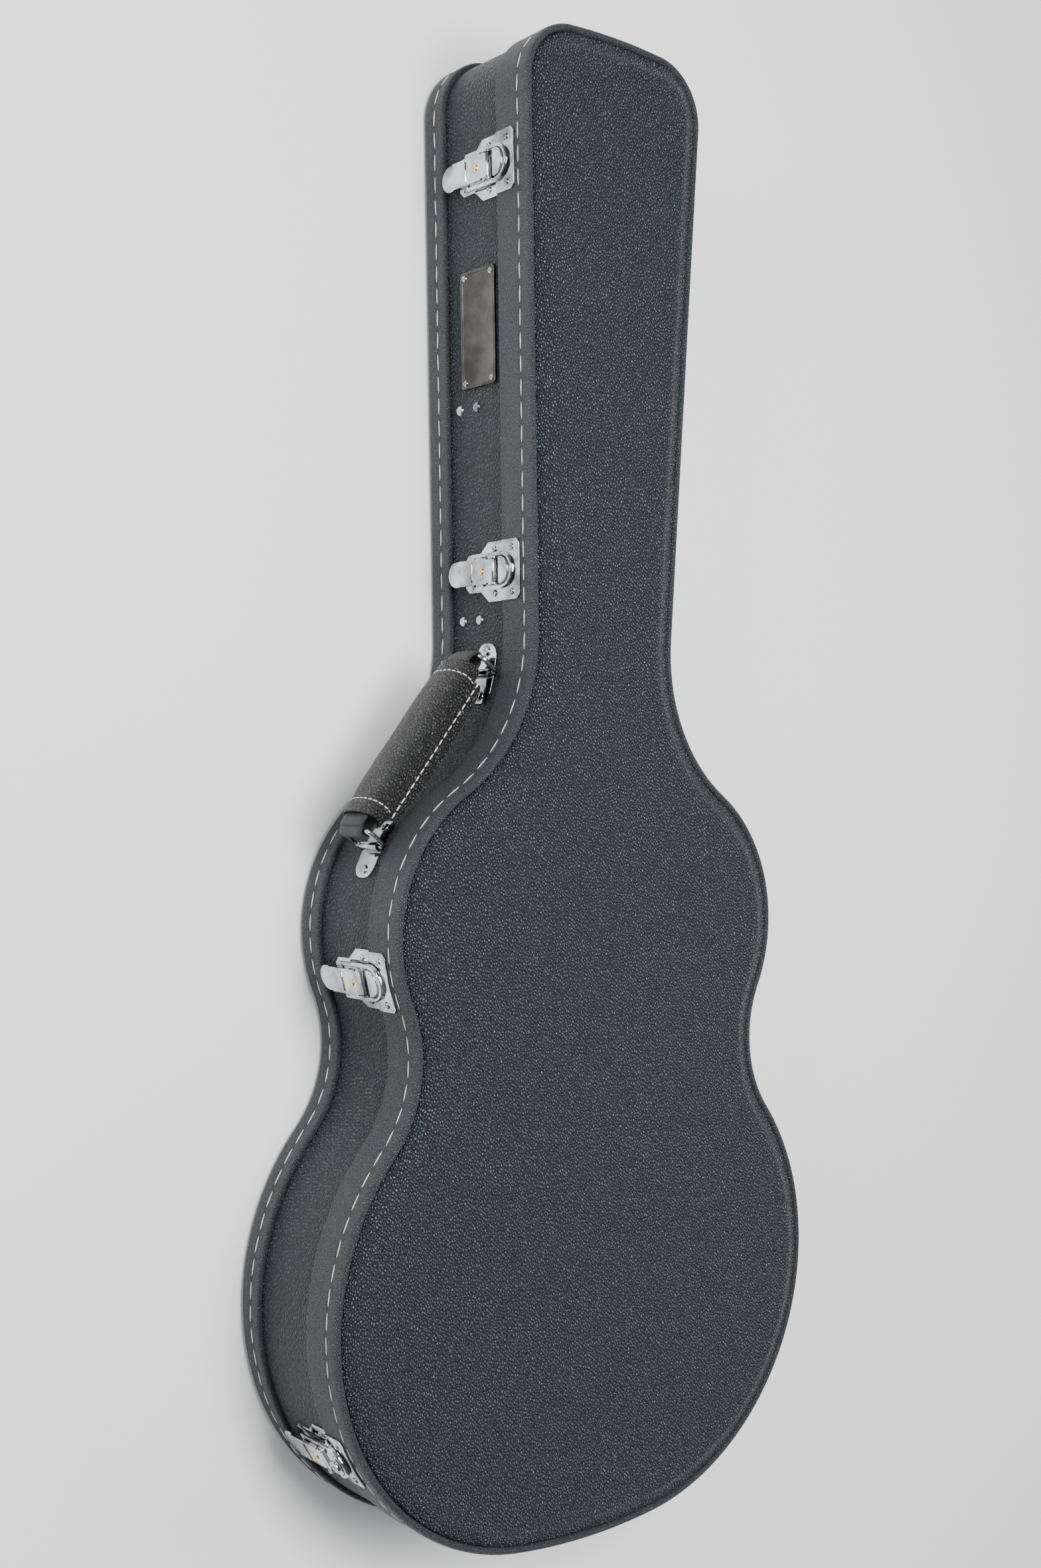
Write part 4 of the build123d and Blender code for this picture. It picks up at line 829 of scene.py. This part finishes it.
def head_pieces():
    """Rivets, screws and the brass rivets of the levers."""
    domed = turned_head("domed_head", [(2.45, -0.3), (2.45, 0.1), (2.3, 0.5), (1.95, 0.95), (1.45, 1.25),
                                       (0.95, 1.32), (0.8, 1.2), (0.7, 0.7), (0.35, 0.55)])
    screw = turned_head("screw_head", [(3.8, -0.3), (3.8, 0.2), (3.5, 0.7), (2.95, 1.2), (2.3, 1.5), (2.2, 1.52),
                                       (1.5, 1.62), (0.9, 1.55), (0.45, 1.2)], 1.9, 0.7)
    small = turned_head("brass_head", [(2.75, -0.3), (2.75, 0.1), (2.55, 0.5), (2.1, 0.85), (1.95, 0.9),
                                       (1.3, 1.0), (0.7, 0.9), (0.3, 0.6)], 1.7, 0.5)
    for node, head, body in (("body_rivets", domed, "case"), ("lid_rivets", domed, "lid"),
                             ("divider_screws", screw, "case"), ("bracket_screws", screw, "case")):
        place_heads(node, node + "_heads", head, NICKEL, body, "nickel")
    for number in range(1, 5):
        node = f"latch_{number}_rivet"
        place_heads(node, node + "_head", small, BRASS, f"lever_{number}", "brass")
    for head in (domed, screw, small):
        bpy.data.objects.remove(head)


# Handle, in its own frame: x to the lower end, y up, z away from the case
BRACKET_HEIGHT = 64.0
RING_BAR_OUT, RING_LENGTH = 3.6, 17.0
UPPER_BRACKET_ANGLE, LOWER_BRACKET_ANGLE = math.radians(10.5), math.radians(30.0)
GRIP_HALF, GRIP_WIDTH, GRIP_THICKNESS = 67.0, 42.0, 21.0


def handle_frame():
    """The handle's frame in the case's, in metres, and the distance between the rings in millimetres."""
    mirror = plane_vector(-1, 1)
    way = plane_vector(math.cos(UPPER_BRACKET_ANGLE), math.sin(UPPER_BRACKET_ANGLE))
    upper = (SHOULDER_C - way * SHOULDER_R) * mirror + way * mirror * RING_BAR_OUT
    way = plane_vector(math.cos(LOWER_BRACKET_ANGLE), math.sin(LOWER_BRACKET_ANGLE))
    lower = (UPPER_C + way * UPPER_R) * mirror + way * mirror * RING_BAR_OUT
    run = unit(upper - lower)
    out = plane_vector(-run[1], run[0])
    centre = (upper + lower) / 2 + out * RING_LENGTH
    columns = Matrix((
        (-run[0], 0, out[0], centre[0] * MM), (-run[1], 0, out[1], centre[1] * MM),
        (0, 1, 0, BRACKET_HEIGHT * MM), (0, 0, 0, 1),
    ))
    return columns, float(np.linalg.norm(upper - lower))


HANDLE, RING_SPACING = handle_frame()


def grip_section(x, count=56):
    """The sleeve's section at x: a flattened roll that narrows to its ends, with slight creases."""
    size = 1.0 - 0.10 * max(0.0, abs(x) / GRIP_HALF - 0.55) / 0.45
    half_y, half_z = GRIP_WIDTH / 2 * size * 0.985, GRIP_THICKNESS / 2 * size * 1.08
    roundness = 2 / 2.3
    points = []
    for k in range(count):
        angle = 2 * math.pi * k / count
        y = math.copysign(abs(math.cos(angle))**roundness, math.cos(angle)) * half_y
        z = math.copysign(abs(math.sin(angle))**roundness, math.sin(angle)) * half_z
        crease = noise.noise(Vector((x * 0.06, y * 0.11, z * 0.11))) * 0.35
        points.append((y + crease * y / half_y, z + crease * z / half_z))
    return points


def to_world(point):
    """A place in the handle's frame, in millimetres, as a place in metres."""
    return HANDLE @ Vector((point[0] * MM, point[1] * MM, point[2] * MM))


def grip_sleeve():
    """The padded leather sleeve, pinched at its end stitches and turned in at its hems."""
    stations, pinch_from_end, pinch_width = 70, 10.5, 1.3
    hem = [(0.5, -0.35), (1.1, -0.3), (1.7, 0.2), (1.8, 2.5), (2.0, 9.0)]

    def build(shape):
        rings = []
        for x in np.linspace(-GRIP_HALF, GRIP_HALF, stations):
            pinch = 0.35 * math.exp(-((abs(x) - (GRIP_HALF - pinch_from_end)) / pinch_width)**2)
            rings.append([(x, y * (1 - pinch / 20), z * (1 - pinch / 10)) for y, z in grip_section(x)])
        lips = []
        for side, end in ((-1, rings[0]), (1, rings[-1])):
            lip = []
            for inset, back in hem:
                narrow, thin = 1 - inset / (GRIP_WIDTH / 2 * 0.9), 1 - inset / (GRIP_THICKNESS / 2 * 0.9)
                lip.append([(side * (GRIP_HALF - back), y * narrow, z * thin) for _, y, z in end])
            lips.append(lip)
        rings = lips[0][::-1] + rings + lips[1]
        loops = [[shape.verts.new(to_world(point)) for point in ring] for ring in rings]
        bridge(shape, loops)
        shape.faces.new(loops[0])
        shape.faces.new(loops[-1])

    piece = smooth(mesh_from("grip_sleeve", build), 60)
    finish_piece(piece, GRIP_SKIN, "handle", "grip_leatherette", "grip")


# The sleeve's long seam: its angle round the section, its root, and its edge's directions out and across
SEAM_ANGLE = math.radians(-33)
SEAM_ROOT = plane_vector(math.cos(SEAM_ANGLE) * GRIP_WIDTH / 2, math.sin(SEAM_ANGLE) * GRIP_THICKNESS / 2 * 1.35)
SEAM_OUT = unit(plane_vector(0.22, -1.0))
SEAM_SIDE = plane_vector(-SEAM_OUT[1], SEAM_OUT[0])


def seam_layers():
    """The two layers of the sleeve's edge that stand beside its long seam."""
    layer, width, reach = 1.25, 8.5, GRIP_HALF - 9.0
    section = [(0.0, 1.0), (0.35, 1.0), (0.7, 1.0), (0.93, 1.0), (1.0, 0.45)]
    for number, shift in enumerate((-1.0, 1.0)):
        def build(shape, number=number, shift=shift):
            loops = []
            for x in np.linspace(-reach, reach, 60):
                bow = math.cos(x / reach * math.pi / 2)
                spread = shift * (1 + 0.35 * math.sin(x * 0.12 + number))
                base = SEAM_ROOT * (1 - 0.08 * max(0.0, abs(x) / GRIP_HALF - 0.55)) - SEAM_OUT * 2.2
                outer = SEAM_ROOT + SEAM_OUT * (width * (0.3 + 0.7 * bow**0.5)) + SEAM_SIDE * spread
                ring = []
                for face, rows in ((1, section), (-1, section[::-1])):
                    for share, full in rows:
                        centre = base * (1 - share) + outer * share + SEAM_SIDE * (spread * 0.3)
                        ring.append(centre + SEAM_SIDE * (face * layer / 2 * full))
                loops.append([shape.verts.new(to_world((x, y, z))) for y, z in ring])
            bridge(shape, loops)
            shape.faces.new(loops[0])
            shape.faces.new(loops[-1])
        piece = smooth(mesh_from(f"grip_seam_layer_{number + 1}", build), 50)
        finish_piece(piece, GRIP_SKIN, "handle", "grip_leatherette")


def grip_stitches():
    """The stitches along the long seam and round both ends of the sleeve."""
    turn = HANDLE.to_3x3()
    y, z = SEAM_ROOT + SEAM_OUT * 0.6 + SEAM_SIDE * 1.55
    points = [to_world((x, y, z)) for x in np.linspace(10 - GRIP_HALF, GRIP_HALF - 10, 50)]
    away = (turn @ Vector((0, SEAM_SIDE[0], SEAM_SIDE[1]))).normalized()
    stitch_row("grip_seam_stitches", points, [away] * len(points), "handle", Pitch=0.0062, Length=0.0054,
               Width=0.0011)
    for number, x in enumerate((10.5 - GRIP_HALF, GRIP_HALF - 10.5)):
        section = grip_section(x)
        points = [to_world((x, y * 0.985, z * 0.968)) for y, z in section]
        ways = [(turn @ Vector((0, y / 20, z / 9))).normalized() for y, z in section]
        stitch_row(f"grip_end_stitches_{number + 1}", points, ways, "handle", closed=True, Pitch=0.0046,
                   Length=0.0040, Width=0.0010)


def strap_pieces():
    """Webbing that leaves the sleeve's ends, swells and folds round each ring; its path is (along, away)."""
    width, sheet, fold = 27.0, 3.0, 3.35
    rib_length, rib_width, column_width = 1.6, 2.2, 3.4
    bar = RING_SPACING / 2
    path = [(51, 1.9), (58, 3.2), (64, 4.9), (70, 5.4), (76, 4.8), (bar - 2.4, 3.6)]
    path += [(bar + fold * math.sin(a), fold * math.cos(a)) for a in np.linspace(0.1, math.pi - 0.1, 9)]
    path += [(bar - 2.4, -3.6), (76, -4.4), (70, -4.6), (64, -4.2), (58, -2.9), (51, -1.7)]
    travelled = [0.0]
    for first, second in zip(path, path[1:]):
        travelled.append(travelled[-1] + math.dist(first, second))
    across = [(share, 1.0 if abs(share) < 0.95 else 0.55) for share in np.linspace(-1, 1, 9)]

    for side, name, node in ((-1, "upper_strap", "upper_webbing"), (1, "lower_strap", "lower_webbing")):
        def build(shape, side=side):
            layer = shape.loops.layers.uv.new("weave")
            loops = []
            for index, (x, z) in enumerate(path):
                before, after = path[max(index - 1, 0)], path[min(index + 1, len(path) - 1)]
                run = unit(plane_vector(after[0] - before[0], after[1] - before[1]))
                away = plane_vector(-run[1], run[0])
                squeeze = 1.0 - 0.06 * max(0.0, (x - 66) / 20)
                ring = []
                for face, rows in ((1, across), (-1, across[::-1])):
                    for share, full in rows:
                        spot = (x, z) + away * (face * sheet / 2 * full)
                        ring.append(to_world((side * spot[0], share * width / 2 * squeeze, spot[1])))
                loops.append([shape.verts.new(spot) for spot in ring])
            for index, (first, second) in enumerate(zip(loops, loops[1:])):
                for k in range(len(first)):
                    n = (k + 1) % len(first)
                    face = shape.faces.new((first[k], first[n], second[n], second[k]))
                    corners = ((index, k), (index, k + 1), (index + 1, k + 1), (index + 1, k))
                    for corner, (row, column) in zip(face.loops, corners):
                        corner[layer].uv = (travelled[row] / rib_length, column * column_width / rib_width)
            shape.faces.new(loops[0])
            shape.faces.new(loops[-1])

        piece = mesh_from(name, build)
        rounder = piece.modifiers.new("round", "SUBSURF")
        rounder.levels = rounder.render_levels = 1
        bake_modifiers(piece)
        smooth(piece)
        finish_piece(piece, WEBBING, "handle", "webbing", node)


band_pieces()
panel_pieces()
lining_pieces()
metal_pieces()
head_pieces()
grip_sleeve()
seam_layers()
grip_stitches()
strap_pieces()
paint_node("body_wall", SHADED_SIDE_SKIN)
paint_node("lid_wall", BAND_SKIN)

# Floor, light and camera
FLOOR_REACH = 9.0
floor_mesh = bpy.data.meshes.new("floor")
floor_mesh.from_pydata([(x * FLOOR_REACH, y * FLOOR_REACH, 0) for x, y in ((-1, -1), (1, -1), (1, 1), (-1, 1))], [],
                       [(0, 1, 2, 3)])
floor = new_object("floor", floor_mesh)
floor_paint, _, floor_shader = new_material("pale floor")
put(floor_shader, Base_Color=(0.93, 0.93, 0.93, 1.0), Roughness=0.85, Specular_IOR_Level=0.1)
floor_mesh.materials.append(floor_paint)

world = bpy.context.scene.world or bpy.data.worlds.new("studio")
bpy.context.scene.world = world
world.use_nodes = True
put(world.node_tree.nodes["Background"], Color=(0.93, 0.96, 1.0, 1.0), Strength=0.34)


def soft_light(name, place, target, size, watts):
    """A rectangular studio lamp that faces its target."""
    lamp = bpy.data.lights.new(name, "AREA")
    lamp.shape = "RECTANGLE"
    lamp.size, lamp.size_y = size
    lamp.energy = watts
    holder = bpy.data.objects.new(name, lamp)
    holder.location = place
    holder.rotation_euler = (Vector(target) - Vector(place)).to_track_quat("-Z", "Y").to_euler()
    bpy.context.scene.collection.objects.link(holder)


soft_light("overhead", (-0.25, 0.35, 1.9), (0, 0, 0.05), (0.7, 1.3), 66)
soft_light("left", (-2.1, 0.7, 1.1), (-0.1, 0, 0.05), (1.0, 0.7), 17)
soft_light("right", (1.9, -0.4, 1.3), (0.1, 0, 0.05), (0.8, 0.8), 9)

# The camera: the photograph's size, and the fitted lens and place, in its pixels and in metres
IMAGE_WIDTH, IMAGE_HEIGHT = 1568, 2361
SENSOR = 36.0
FOCAL_PIXELS = 2714.14
PRINCIPAL = (702.66, 1261.30)
CAMERA_PLACE = Vector((-0.8619, 0.00304, 1.06853))
CAMERA_RIGHT = Vector((0.789217, 0.018884, 0.613823))
CAMERA_UP = Vector((0.001485, 0.999466, -0.032657))
lens = bpy.data.cameras.new("photo view")
lens.sensor_width = SENSOR
lens.lens = SENSOR * FOCAL_PIXELS / IMAGE_HEIGHT
lens.shift_x = (IMAGE_WIDTH / 2 - PRINCIPAL[0]) / IMAGE_HEIGHT
lens.shift_y = (PRINCIPAL[1] - IMAGE_HEIGHT / 2) / IMAGE_HEIGHT
camera = bpy.data.objects.new("photo view", lens)
camera_back = CAMERA_RIGHT.cross(CAMERA_UP).normalized()
camera_turn = Matrix((CAMERA_RIGHT, CAMERA_UP, camera_back)).transposed().to_4x4()
camera.matrix_world = Matrix.Translation(CAMERA_PLACE) @ camera_turn
bpy.context.scene.collection.objects.link(camera)
bpy.context.scene.camera = camera
